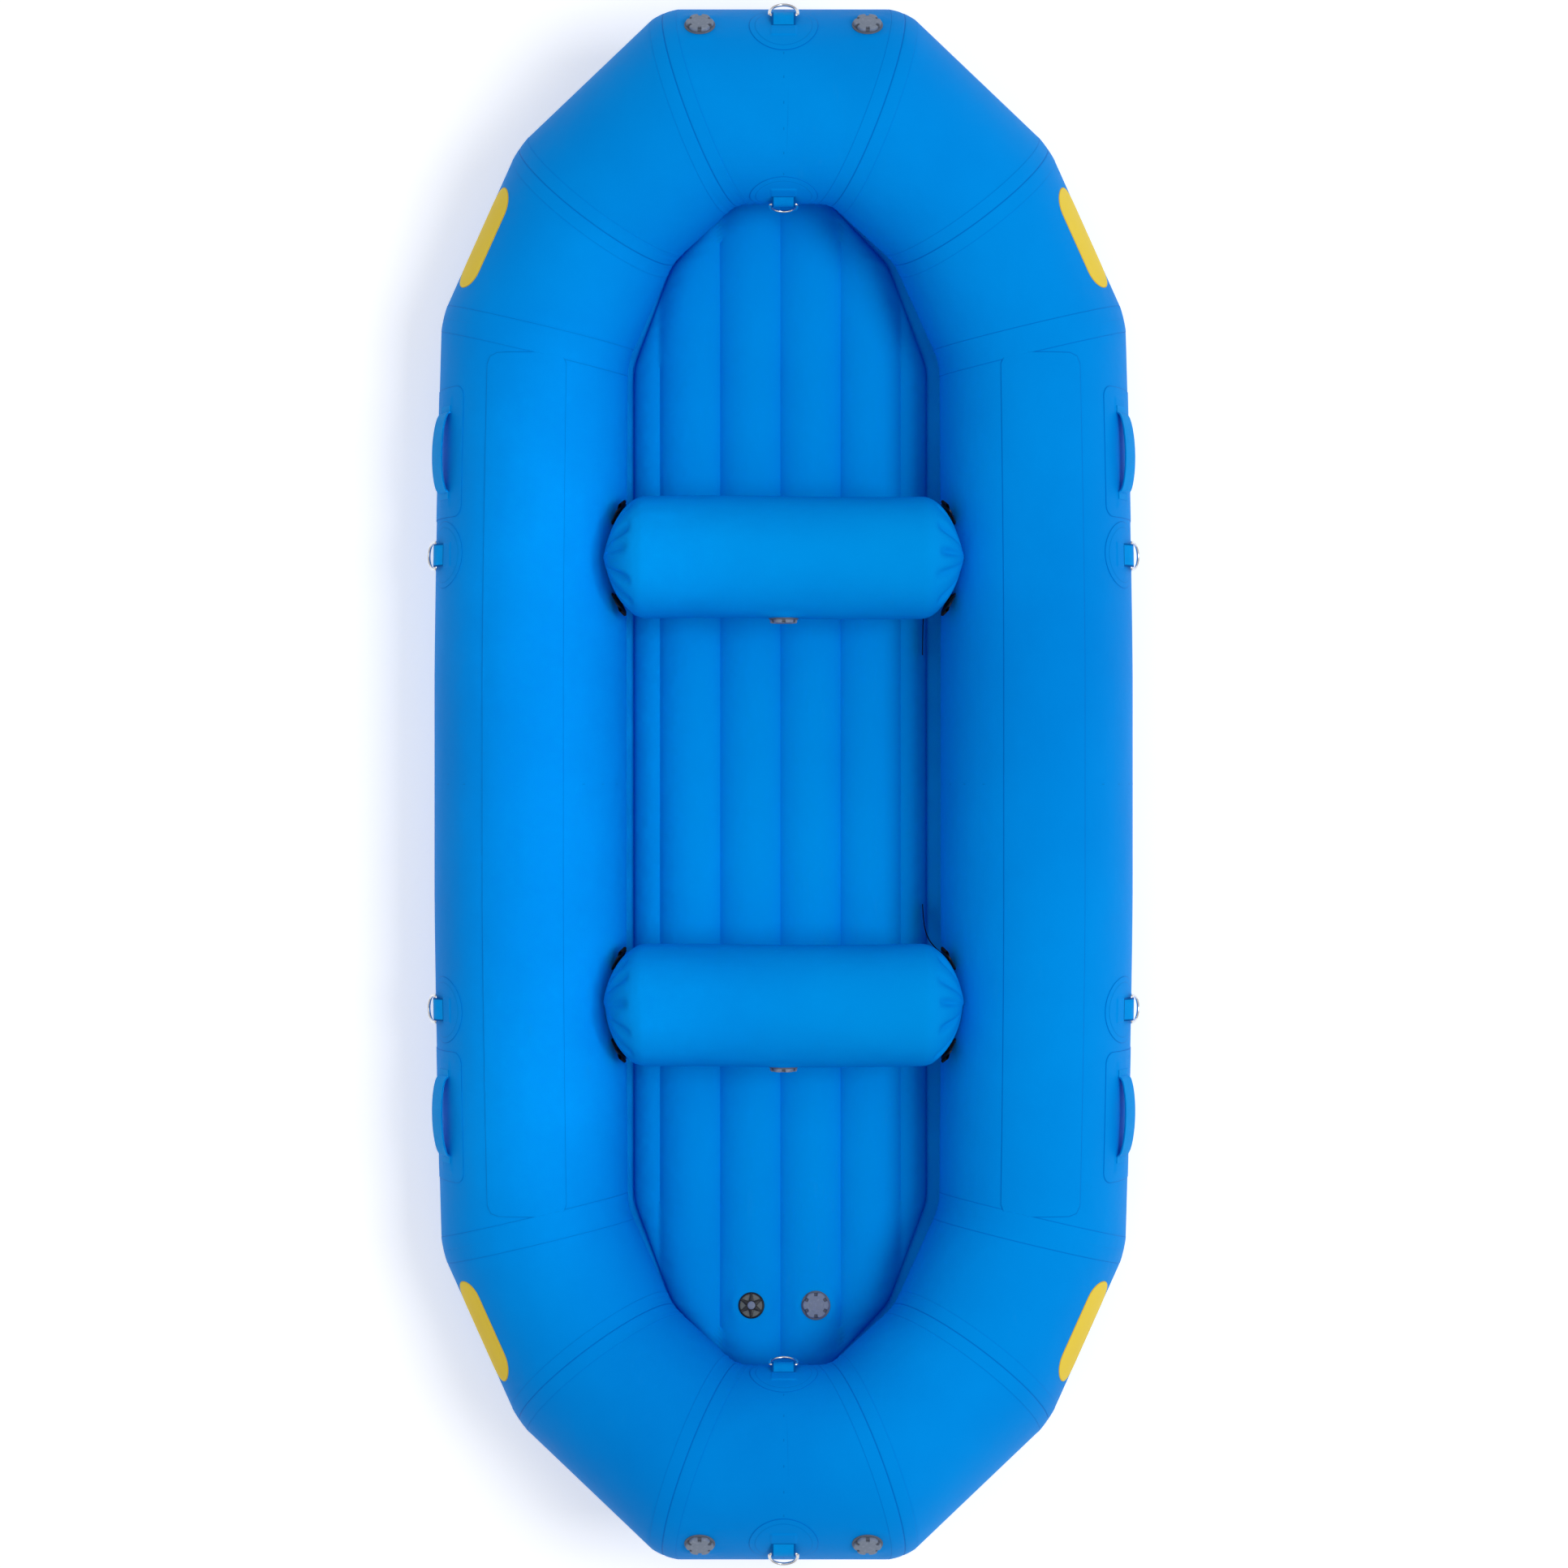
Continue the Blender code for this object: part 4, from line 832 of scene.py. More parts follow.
def tongueGrids(place, radius):
    # webbing out of the slit, over the ring's bar and back under itself, and the lip of the slit, which is painted
    # dark all over as the slit's shade
    slit, offset, low = ringShape["slit"], ringShape["offset"], ringShape["webLift"]
    bar = ringShape["barHeight"] + offset**2 / (2 * radius)  # the skin falls away from a flat ring
    wrap = ringShape["wire"] / 2 + ringShape["play"] + ringShape["webThickness"] / 2
    turn = np.linspace(0, math.pi, 13)
    climb = low + (bar + wrap - low) * smooth(np.linspace(0, 1, 10)) ** 0.8
    top = np.stack([np.linspace(slit - 0.003, 0.024, 10), climb], axis=1)
    loop = np.stack([offset + wrap * np.sin(turn), bar + wrap * np.cos(turn)], axis=1)
    under = np.stack([np.linspace(0.021, slit - 0.001, 8), np.full(8, ringShape["underLift"])], axis=1)
    path = np.concatenate([top, loop, under])
    run = runLength(path)
    shape = (ringShape["webWidth"], ringShape["webThickness"])
    belt, lift = placedBelt(place, path, shape, ringShape["edge"], False, run)
    marks = belt["values"]
    foldStart, foldStop = run[len(top)], run[len(top) + len(turn) - 1]  # the fold over the bar is painted dark inside, as shade
    fold = np.abs(marks["along"] - (foldStart + foldStop) / 2) < (foldStop - foldStart) / 2 - 0.0012
    # painted shade inside the fold, where the belt faces the bar
    marks["rimmed"] = np.maximum(marks["rimmed"], fold * (lift < 0.0))
    u = np.linspace(-1, 1, 25)[:, None] * (ringShape["webWidth"] / 2 + 0.0025)
    angle, (lipWide, lipHigh) = circle(12), ringShape["lip"]
    taper = np.sqrt(np.clip(1 - (np.abs(u) / np.abs(u).max()) ** 8, 0, 1))
    lip = place(np.broadcast_to(u, (25, 12)), slit + taper * lipWide * np.cos(angle),
                ringShape["underLift"] + taper * lipHigh * np.sin(angle))
    # the lip is painted shade in full, as the dark line of the slit
    return [belt, grid(lip, wrapColumns=True, along=0.001, across=0.0, rimmed=1.0)]


def ringPath(seat):
    # a D: straight bar, two rounded corners, short legs and a half circle, in the plane of the patch
    point, along, downhill, outward = seat
    half, corner, leg = ringShape["halfWidth"], ringShape["corner"], ringShape["leg"]
    bar = np.stack([np.zeros(13), np.linspace(-half + corner, half - corner, 13)], axis=1)
    turn = np.linspace(0, math.pi / 2, 7)[1:]
    corner1 = np.stack([corner - corner * np.cos(turn), half - corner + corner * np.sin(turn)], axis=1)
    sweepAngle = np.linspace(math.pi / 2, -math.pi / 2, 41)
    arc = np.stack([leg + half * np.cos(sweepAngle), half * np.sin(sweepAngle)], axis=1)
    corner2 = (corner1 * (1, -1))[::-1]
    flat = np.concatenate([bar, corner1, arc, corner2])
    origin = point + downhill * ringShape["offset"] + outward * ringShape["barHeight"]
    return origin + flat[:, :1] * downhill + flat[:, 1:] * along


anchorPlaces = {}
for sideName, side in sides.items():
    for spot, y in ringShape["sideSpots"]:
        place = onSide(side, y, math.radians(ringShape["sidePhi"]))
        anchorPlaces[spot + sideName] = (place, nodeName(spot, sideName), ringShape["sideCurve"])
for endName, end in ends.items():
    for spot, alpha in ringShape["endSpots"]:
        place = onEnd(end, 0, math.radians(alpha))
        anchorPlaces[endName + spot] = (place, nodeName(endName, spot), ringShape["endCurve"])
discOutline = roundProfile(ringShape["discRadius"], 120)
for name, (place, node, radius) in anchorPlaces.items():
    makePiece("ringPatch" + name, [patchGrid(place, discOutline, 0.0017, ringBulge)], discFabric)
    makePiece("ringWebbing" + name, tongueGrids(place, radius), blueWebbing,
              stands=["ring_anchor_" + node])
    seat = seatOf(place)
    wire = sweep(ringPath(seat), seat[3], roundProfile(ringShape["wire"] / 2, 20), closed=True)
    makePiece("ring" + name, [wire], steel, body="ring_" + node, stands=["d_ring_" + node])
print("rings ready")


# air floor; crown and valley are half thicknesses amidships and at the ends

floorShape = {
    "halfWidth": 0.358, "offset": -0.008, "cornerRound": 0.004,
    "corners": ((0.358, 0.0), (0.358, 1.02), (0.262, 1.262), (0.105, 1.42), (0.0, 1.42)),
    "shoulderY": 1.02, "endY": 1.42, "pitch": 0.147, "middle": 0.0575, "climb": 0.085, "bend": 0.06,
    "crown": (0.056, 0.042), "valley": (0.028, 0.020), "fade": 1.20, "rim": 0.006,
    "band": 0.064, "roundness": 0.80, "edgeRib": 0.0045, "rows": 236, "columns": 49, "bandColumns": 28,
    "pucker": {"depth": 0.0016, "pitch": 0.047, "wander": (1.3, 9.0), "swell": 0.19, "slant": 3,
               "inset": 0.020, "width": 0.013},
    "valveX": {"inflate": 0.078, "relief": -0.078}, "valveYZ": (-1.26094, 0.15001), "valveTilt": (0.20786, 0.97816),
    "press": (0.037, 0.062, 0.0003), "reliefPress": (0.010, 0.026, 0.0075),
}


def floorMiddle(y):
    # half way between the two skins: level amidships, then climbing, with the bend rounded
    past, bend = np.abs(y) - floorShape["shoulderY"], floorShape["bend"]
    climb = softMax(past, 0.0, bend) - bend**2 / (4 * (np.abs(past) + bend))
    return floorShape["middle"] + floorShape["climb"] * climb / (floorShape["endY"] - floorShape["shoulderY"])


def floorLines():
    # outward normal and distance of each straight edge of a quarter of the outline
    corners = np.array(floorShape["corners"])
    run = unit(np.diff(corners, axis=0))
    normal = np.stack([run[:, 1], -run[:, 0]], axis=1)
    return normal, (normal * corners[:-1]).sum(axis=1)


def floorInset(x, y):
    # distance in from the nearest edge, with the outline's corners rounded
    normal, distance = floorLines()
    gaps = distance - np.abs(x)[..., None] * normal[:, 0] - np.abs(y)[..., None] * normal[:, 1]
    size = floorShape["cornerRound"]
    return -size * np.log(np.exp(-gaps / size).sum(axis=-1))


def floorHalf(x, y):
    # half thickness: round ribs between deep valleys, drawn in to a thin rim along the edge
    shoulder, pitch, rim = floorShape["shoulderY"], floorShape["pitch"], floorShape["rim"]
    fade = smooth((np.abs(y) - shoulder) / (floorShape["fade"] - shoulder))
    crown, valley = (mid + (end - mid) * fade for mid, end in (floorShape["crown"], floorShape["valley"]))
    across = (x / pitch) % 1
    inRibs = np.abs(x) < 2 * pitch + 1e-6
    arch = np.where(inRibs, (4 * across * (1 - across)).clip(0) ** floorShape["roundness"], 0.0)
    band = np.clip(floorInset(x, y) / floorShape["band"], 0, 1)
    full = np.sqrt(1 - (1 - band) ** 2.2)
    out = np.clip((np.abs(x) - 2 * pitch) / floorShape["band"], 0, 1)
    edgeRib = np.where(inRibs, 0.0, 4 * out * (1 - out)) * floorShape["edgeRib"]
    return rim + (valley + (crown - valley) * arch + edgeRib - rim) * full


def floorWidth(y):
    # half width of the outline at y
    corners = np.array(floorShape["corners"])
    return np.interp(np.abs(y), corners[1:-1, 1], corners[1:-1, 0])


def floorSurface(x, y, face):
    # the floor hangs a little to port, as in the photo
    return np.stack([x + floorShape["offset"], y, floorMiddle(y) + face * floorHalf(x, y)], axis=-1)


def edgePuckers(x, y):
    # small gathers along the long edges, where the round rib is welded flat
    look = floorShape["pucker"]
    size, rate = look["wander"]  # shifts the gathers, so that they aren't evenly spaced
    wave = np.sin(y * 2 * math.pi / look["pitch"] + size * np.sin(y * rate))
    wave = wave * np.sin(y * 2 * math.pi / look["swell"] + x * look["slant"])
    return look["depth"] * wave * hump(floorInset(x, y), look["inset"], look["width"])


def makeFloor():
    # columns stay on the valleys and rows cross them; both skins meet on the rim
    even = np.linspace(-1, 1, floorShape["rows"])
    y = (np.sin(even * math.pi / 2) * 0.12 + even * 0.88) * floorShape["endY"]  # a little closer at the ends
    limit = floorWidth(y)[:, None]
    fixed = np.linspace(-2, 2, floorShape["columns"] * 2 - 1) * floorShape["pitch"]
    band = np.sin(np.linspace(0, math.pi / 2, floorShape["bandColumns"]))
    inner = np.maximum(limit - floorShape["band"], 0)
    core = np.minimum(np.abs(fixed), inner) * np.sign(fixed)
    edge = inner + np.minimum(floorShape["band"], limit) * band[1:]
    x = np.concatenate([-edge[:, ::-1], core, edge], axis=1)
    yGrid = np.broadcast_to(y[:, None], x.shape)
    top, bottom = floorSurface(x, yGrid, 1), floorSurface(x, yGrid, -1)
    top[..., 2] += edgePuckers(x, yGrid)
    top = flatDisc(floorValves.values(), *floorShape["press"])(top)
    top = flatDisc([floorValves["relief"]], *floorShape["reliefPress"])(top)  # room for the plunger's travel
    low = floorShape["middle"] - floorShape["crown"][0]
    bottom[..., 2] = np.maximum(bottom[..., 2], low)  # no lower than the ribs amidships
    loop = np.concatenate([top, bottom[:, ::-1]], axis=1)  # round each row: over the top and back below
    caps = [row.copy() for row in (loop[:1], loop[-1:])]
    for cap in caps:
        cap[..., 2] = (cap[..., 2] + cap[:, ::-1, 2]) / 2
    loop = np.concatenate([caps[0], loop, caps[1]])
    floor = makePiece("airFloor", [grid(loop, wrapColumns=True)], floorFabricPaintedLight, stands=["floor"])


floorValves = {}
for name, x in floorShape["valveX"].items():
    outward = unit(np.array([0, *floorShape["valveTilt"]]))
    point = np.array([x, *floorShape["valveYZ"]])
    floorValves[name] = (point, starboard, np.cross(outward, starboard), outward)
makeFloor()
print("floor ready")


# skirt between floor and tubes, with its eyelets

skirtShape = {"tubePhi": math.radians(232.5), "columns": 10, "sag": 0.0035, "thickness": 0.0012,
              "inner": -0.03, "outer": 0.985, "pucker": 0.0016, "corners": (0.62, 0.80, 0.93, 1.0),
              "eyelets": 15, "eyeletPitch": 0.126, "eyeletShare": 0.42, "eyeletRadius": 0.0075,
              "eyeletWire": 0.0014, "eyeletLift": 0.0012}


def skirtEdges(share):
    # matching points of the floor's rim and the tube's underside for a share from amidships to the end
    first, *others = skirtShape["corners"]  # shares where floor and tube turn their corners
    rim = np.stack([np.interp(share, [0, first, *others], column) for column in zip(*floorShape["corners"])], axis=1)
    rim = np.stack([rim[:, 0], rim[:, 1], floorMiddle(rim[:, 1])], axis=1)
    phi = np.full(1, skirtShape["tubePhi"])
    ring0, ring1, ring2 = (mitreRing(k, phi)[0] for k in range(3))
    along = np.linspace(0, ring0[1] - 1e-6, 12)
    line = sideSurface(along, np.full(12, skirtShape["tubePhi"]))
    line = np.concatenate([line, [ring1, ring2, ring2 * (0, 1, 1)]])
    stops = np.concatenate([along / ring0[1] * first, others])
    return rim, np.stack([np.interp(share, stops, column) for column in line.T], axis=1)


def makeSkirt():
    # a strip between the two edges that sags a little in its middle and puckers at the eyelets
    quarter = np.stack(skirtEdges(np.linspace(0, 1, 161)))
    half = np.concatenate([mirrored(quarter, 1, -1)[:, ::-1], quarter[:, 1:]], axis=1)
    loop = np.concatenate([half, mirrored(half, -1, 1)[:, ::-1][:, 1:-1]], axis=1)
    loop[0, :, 0] += floorShape["offset"]
    # shares of the way across: it starts inside the floor's rim and ends just short of the tube
    t = np.linspace(skirtShape["inner"], skirtShape["outer"], skirtShape["columns"])[:, None, None]
    strip = loop[0] + (loop[1] - loop[0]) * t
    strip[..., 2] -= skirtShape["sag"] * np.sin(math.pi * t[..., 0])
    pucker = np.cos(strip[..., 1] * 2 * math.pi / skirtShape["eyeletPitch"]) * np.sin(math.pi * t[..., 0])
    strip[..., 2] += skirtShape["pucker"] * pucker
    lift = np.array([0, 0, skirtShape["thickness"] / 2])
    skin = np.concatenate([strip + lift, (strip - lift)[::-1]])
    makePiece("floorSkirt", [grid(skin, wrapRows=True, wrapColumns=True)], skirtFabricPaintedLight,
              stands=["floor_skirt"])
    y = (np.arange(skirtShape["eyelets"]) - (skirtShape["eyelets"] - 1) / 2) * skirtShape["eyeletPitch"]
    outerEdge = sideSurface(y, np.full(len(y), skirtShape["tubePhi"]))
    eyelets = []
    for side in (1, -1):  # a small ring round each hole
        rimX = np.full(len(y), side * floorShape["halfWidth"] + floorShape["offset"])
        inner, outer = np.stack([rimX, y, floorMiddle(y)], axis=1), mirrored(outerEdge, side)
        middle = inner + (outer - inner) * skirtShape["eyeletShare"]
        middle[:, 2] -= skirtShape["sag"] * math.sin(math.pi * skirtShape["eyeletShare"]) - skirtShape["eyeletLift"]
        for centre, tilt in zip(middle, unit(outer - inner)):
            turn = circle(14)[:, None]
            path = centre + skirtShape["eyeletRadius"] * (np.cos(turn) * tilt + np.sin(turn) * bow)
            wire = roundProfile(skirtShape["eyeletWire"], 6)
            eyelets.append(sweep(path, unit(np.cross(tilt, bow)), wire, closed=True))
    makePiece("skirtEyelets", eyelets, steel)


makeSkirt()
print("skirt ready")


# thwarts with their gathered ends, straps and buckles

thwartShape = {
    "places": {"Fore": 0.532, "Aft": -0.518}, "height": 0.365, "radius": 0.143,
    "straight": 0.322, "tip": 0.421, "bluntness": 0.62, "around": 216, "barrelRows": 30, "endRows": 34,
    "pleats": 12, "pleatDepth": 0.0105, "pleatWidth": 0.10, "pleatFrom": 0.352, "pleatTo": 0.412,
    "clear": 0.0012, "clearBend": 0.006, "clearFrom": 0.3, "press": (0.037, 0.064, 0.0004),
    "seeds": {"Fore": 3, "Aft": 11}, "pleatPull": 0.55, "sways": ((0.0012, 3, 7), (0.0009, 5, -11)),
    "endLobe": 0.0030, "lobeFrom": 0.022,
}


def pleatPattern(theta, x, seed):
    # short valleys at nearly even angles, each with its own depth, start and width
    rng = np.random.default_rng(seed)
    count = thwartShape["pleats"]
    middles = 2 * math.pi * (np.arange(count) + rng.uniform(-0.16, 0.16, count)) / count - 0.06
    depths = rng.uniform(0.55, 1.0, count)
    starts = thwartShape["pleatFrom"] + rng.uniform(-0.006, 0.008, count)
    away = np.abs((theta[..., None] - middles + math.pi) % (2 * math.pi) - math.pi)
    share = np.clip((np.abs(x)[..., None] - starts) / (thwartShape["pleatTo"] - starts), 0, 1)
    deep = np.sin(np.pi * share**0.8) ** 1.3 + 0.25 * smooth(share / 0.5)
    return (depths * deep * np.exp(-((away / thwartShape["pleatWidth"]) ** 2))).sum(axis=-1)


def thwartGrid(y0, seed, seat):
    # a barrel whose ends round off to a point: x and radius run a quarter ellipse past the barrel
    straight, full, height = (thwartShape[key] for key in ("straight", "radius", "height"))
    turn = np.linspace(0, math.pi / 2, thwartShape["endRows"])
    endX = straight + (thwartShape["tip"] - straight) * np.sin(turn)
    endRadius = full * np.cos(turn) ** (2 * thwartShape["bluntness"])
    endRadius[-1] = 0
    barrel = np.linspace(-straight, straight, thwartShape["barrelRows"] + 2)[1:-1]
    x = np.concatenate([-endX[::-1], barrel, endX])
    radius = np.concatenate([endRadius[::-1], np.full(len(barrel), full), endRadius])
    xGrid, thetaGrid = np.meshgrid(x, circle(thwartShape["around"]), indexing="ij")
    past = np.clip(np.abs(xGrid) - straight + thwartShape["lobeFrom"], 0, None)
    strength = np.clip(radius[:, None] / 0.05, 0, 1)
    pleat = np.where(xGrid > 0, pleatPattern(thetaGrid, xGrid, seed), pleatPattern(thetaGrid, xGrid, seed + 1))
    depth = thwartShape["pleatDepth"] * strength * pleat
    (deep, waves, twist), (fine, fineWaves, fineTwist) = thwartShape["sways"]  # height, waves round and along
    sway = deep * np.sin(waves * thetaGrid + twist * xGrid + seed)
    sway = sway + fine * np.sin(fineWaves * thetaGrid + fineTwist * xGrid)
    reach = (radius[:, None] + sway * np.clip(radius[:, None] / 0.1, 0, 1) - depth).clip(0)
    xGrid = xGrid - np.sign(xGrid) * depth * thwartShape["pleatPull"]
    xGrid = xGrid + thwartShape["endLobe"] * np.sign(xGrid) * np.cos(2 * thetaGrid + seed) * smooth(past / 0.1)
    y, z = y0 + reach * np.cos(thetaGrid), height + reach * np.sin(thetaGrid)
    points = np.stack([xGrid, y, z], axis=-1)
    points[[0, -1]] = points[[0, -1]].mean(axis=1, keepdims=True)
    points = flatDisc([seat], *thwartShape["press"])(points)
    return grid(offTube(points), wrapColumns=True)


def offTube(points):
    # moves points that would sink into a side tube straight out to just off its surface
    axisX, radius, axisZ = sideAxis(points[..., 1])
    side = np.sign(points[..., 0])
    dx, dz = np.abs(points[..., 0]) - axisX, points[..., 2] - axisZ
    distance = np.hypot(dx, dz)
    moved = softMax(distance, radius + thwartShape["clear"], thwartShape["clearBend"]) / distance
    moved = np.where(np.abs(points[..., 0]) > thwartShape["clearFrom"], moved, 1.0)  # only near the tubes
    return np.stack([side * (axisX + dx * moved), points[..., 1], axisZ + dz * moved], axis=-1)


strapShape = {"width": 0.025, "thickness": 0.0016, "lift": 0.0024, "start": math.radians(-6), "x": 0.388,
              "buckleAt": math.radians(-16), "buckleWidth": 0.044, "buckleLength": 0.038, "buckleLift": 0.0058,
              "buckleBar": 0.0031, "gap": 0.002, "loop": (0.020, 0.0014), "tail": (0.025, 0.0024)}


def thwartSkin(x, y0, angles, lift, side=1):
    # a place on the rounded end, and the skin's normal there: outward, turned by the slope of the radius
    wide = thwartShape["tip"] - thwartShape["straight"]
    share, power = np.clip((x - thwartShape["straight"]) / wide, 0, 0.98), thwartShape["bluntness"]
    radius = thwartShape["radius"] * (1 - share**2) ** power
    slope = thwartShape["radius"] * power * (1 - share**2) ** (power - 1) * 2 * share / wide
    normal = unit(np.stack([slope, np.cos(angles), np.sin(angles)], axis=-1))
    place = np.stack([x, radius * np.cos(angles), thwartShape["height"] + radius * np.sin(angles)], axis=-1)
    return mirrored(place + lift * normal, side) + y0 * bow, mirrored(normal, side)


def strapPath(y0, angles, lift, side, width=strapShape["width"]):
    # round the thwart's end, as far out as the tube's face leaves room for the belt's width
    x = np.full(angles.shape, strapShape["x"])
    for _ in range(30):  # each pass goes half the way to the place that its own skin allows
        place, normal = thwartSkin(x, y0, angles, lift)
        axisX, radius, axisZ = sideAxis(place[:, 1])
        face = axisX - np.sqrt(np.clip(radius**2 - (place[:, 2] - axisZ) ** 2, 0, None))
        room = np.hypot(normal[:, 1], normal[:, 2]) * width / 2 + lift * normal[:, 0] + strapShape["gap"]
        x = 0.5 * x + 0.5 * np.minimum(face - room, strapShape["x"])
    return thwartSkin(x, y0, angles, lift, side)


def buckleGrids(path, across, normal):
    # a ladder-lock buckle: a rounded frame with two cross bars, flat on the strap at one end
    middle, wide, out = (row[len(path) // 2] for row in (path, across, normal))
    ahead = unit(np.cross(wide, out))
    long, half, bar = strapShape["buckleLength"] / 2, strapShape["buckleWidth"] / 2, strapShape["buckleBar"]
    outline = roundedOutline(2 * long, 2 * half, 0.005, 0.004)
    rim = middle + outline[:, :1] * ahead + outline[:, 1:] * wide
    pieces = [sweep(rim, out, roundProfile(bar, 10) * (0.85, 1.0), closed=True)]
    for offset in (-0.3, 0.25):
        rod = middle + ahead * long * offset + np.linspace(-half, half, 9)[:, None] * wide
        pieces.append(sweep(rod, out, roundProfile(bar * 0.85, 10)))
    return pieces


def strapLoop(path, across, normal):
    # the strap's folded end, standing off the buckle towards the barrel as a narrow open loop
    middle, wide, out = (row[len(path) // 2] for row in (path, across, normal))
    wide = wide * math.copysign(1, -wide[0] * middle[0])  # towards the middle of the raft
    flat = easedPath([(0.006, 0.001), (0.020, 0.004), (0.030, 0.006), (0.038, 0.004), (0.039, -0.001),
                      (0.033, -0.003), (0.024, 0.000)], 36, 8)
    path = middle + flat[:, :1] * wide + flat[:, 1:] * out
    return sweep(path, unit(np.cross(wide, out)), beltProfile(*strapShape["loop"]))


def beltFrame(angles, y0, lift, side, width=strapShape["width"]):
    # path, direction across it and normal of a belt round a thwart's end
    path, normal = strapPath(y0, angles, lift, side, width)
    return path, unit(np.cross(unit(np.gradient(path, axis=0)), normal)), normal


def makeThwart(name, y0):
    node = nodeName("thwart", name)
    seat = (np.array([0, y0 - thwartShape["radius"], thwartShape["height"]]), starboard, up, -bow)
    barrel = thwartGrid(y0, thwartShape["seeds"][name], seat)
    thwart = makePiece("thwart" + name, [barrel], thwartFabric, stands=[node])
    for sideName, side in sides.items():
        angles = np.linspace(strapShape["start"], -math.pi - strapShape["start"], 71)
        path, across, _ = beltFrame(angles, y0, strapShape["lift"], side)
        belts = [sweep(path, across, beltProfile(strapShape["width"], strapShape["thickness"]))]
        buckles = []
        for middle in (strapShape["buckleAt"], -math.pi - strapShape["buckleAt"]):
            angles = middle + np.linspace(-0.1, 0.1, 9)
            lying = beltFrame(angles, y0, strapShape["buckleLift"], side, strapShape["buckleWidth"])
            buckles += buckleGrids(*lying)
            belts.append(strapLoop(*lying))
        makePiece(f"thwartStrap{name}{sideName}", belts, blackWebbing,
                  stands=[nodeName(node, "strap", sideName)])
        makePiece(f"thwartBuckles{name}{sideName}", buckles, blackPlastic)
    return seat


thwartValves = {name: makeThwart(name, y) for name, y in thwartShape["places"].items()}


def makeTails():
    # loose strap ends on the starboard side: from the buckle down beside the floor
    tails = {
        "Fore": ((0.3640, 0.428, 0.290), (0.3560, 0.426, 0.230), (0.3450, 0.424, 0.170), (0.3390, 0.412, 0.122),
                 (0.3385, 0.360, 0.110), (0.3383, 0.315, 0.107)),
        "Aft": ((0.3800, -0.405, 0.290), (0.3640, -0.392, 0.220), (0.3500, -0.375, 0.160), (0.3430, -0.350, 0.116),
                (0.3400, -0.322, 0.104), (0.3385, -0.292, 0.102)),
    }
    for name, stops in tails.items():
        path = easedPath(stops, 50, 14)
        tangent = unit(np.gradient(path, axis=0))
        towards = unit(studio["cameraHeight"] * up - path)
        across = unit(towards - (towards * tangent).sum(axis=1, keepdims=True) * tangent)
        belt = sweep(path, across, beltProfile(*strapShape["tail"]))
        makePiece("strapTail" + name, [belt], blackWebbing)


makeTails()
print("thwarts ready")


# valves

capShape = {"radius": 0.031, "lobe": 0.0013, "lobes": 6, "height": 0.0122, "base": 0.0028,
            "notchDepth": 0.0034, "notchStart": 0.0215, "notchWidth": 0.22}
bodyShape = {"flange": 0.035, "thickness": 0.0025, "barrel": 0.0222, "depth": 0.030}
reliefShape = {"ringInner": 0.0275, "rim": 0.0315, "hub": 0.0128, "arms": 6, "armHub": 0.0060, "armRim": 0.0014,
               "armLift": 0.0028, "armThick": 0.0018, "button": 0.0095, "cup": 0.0102, "stem": 0.005,
               "hole": 0.0056, "buttonBase": 0.0068, "buttonTop": 0.0098}


# profiles list radius and height over the seat, from the axis or the inner edge outwards and back below

def bodyProfile():
    flange, top = bodyShape["flange"], bodyShape["thickness"]
    barrel, depth = bodyShape["barrel"], bodyShape["depth"]
    return np.array([
        (0, top - 0.0006), (barrel * 0.8, top - 0.0006), (barrel, top), (flange - 0.0012, top),
        (flange - 0.0004, top - 0.0003), (flange, top - 0.0010), (flange, 0.0002), (flange - 0.001, -0.0006),
        (barrel + 0.001, -0.0006), (barrel, -0.002), (barrel, -depth + 0.001), (barrel - 0.001, -depth), (0, -depth),
    ])


def capSurface(radius, height, angle):
    # lobed rim, and a notch pressed into the crown between each two lobes
    lobes, full = capShape["lobes"], capShape["radius"]
    share = np.clip(radius / full, 0, 1)
    shaped = radius * (1 + share**3 * capShape["lobe"] / full * (np.cos(lobes * angle) - 0.3))
    away = np.abs((angle * lobes / (2 * math.pi) + 0.5) % 1 - 0.5) * 2 * math.pi / lobes
    notch = 1 - smooth((np.abs(math.pi / lobes - away) - capShape["notchWidth"] * 0.55) / 0.05)
    notch = notch * smooth((radius - capShape["notchStart"]) / 0.002)
    top = height > capShape["base"] + 0.004
    # the third value marks the notches, which the cap's material paints dark as shade
    return shaped, height - capShape["notchDepth"] * notch * top, notch * (height > capShape["base"])


def capProfile():
    full, top, base = capShape["radius"], capShape["height"], capShape["base"]
    inner = np.linspace(0, full - 0.0022, 22)
    crown = np.stack([inner, top - 0.0009 * (inner / full) ** 2 - 0.0005 * hump(inner, 0.017, 0.0012)], axis=1)
    edge = np.array([(full - 0.0010, top - 0.0014), (full - 0.0003, top - 0.0026), (full, top - 0.0042),
                     (full, base + 0.001), (full - 0.0005, base), (full - 0.003, base - 0.0002)])
    plug = np.array([(0.0182, base - 0.0002), (0.0182, base - 0.009), (0.017, base - 0.010), (0, base - 0.010)])
    return np.concatenate([crown, edge, plug])


def makeValve(name, node, seat):
    makePiece(name + "Body", [turned(seat, bodyProfile())], bodyPlastic,
              stands=[node + "_valve_body"])
    makePiece(name + "Cap", [turned(seat, capProfile(), 144, capSurface)], capPlastic,
              body="cap_" + node, stands=[node + "_valve_cap"])


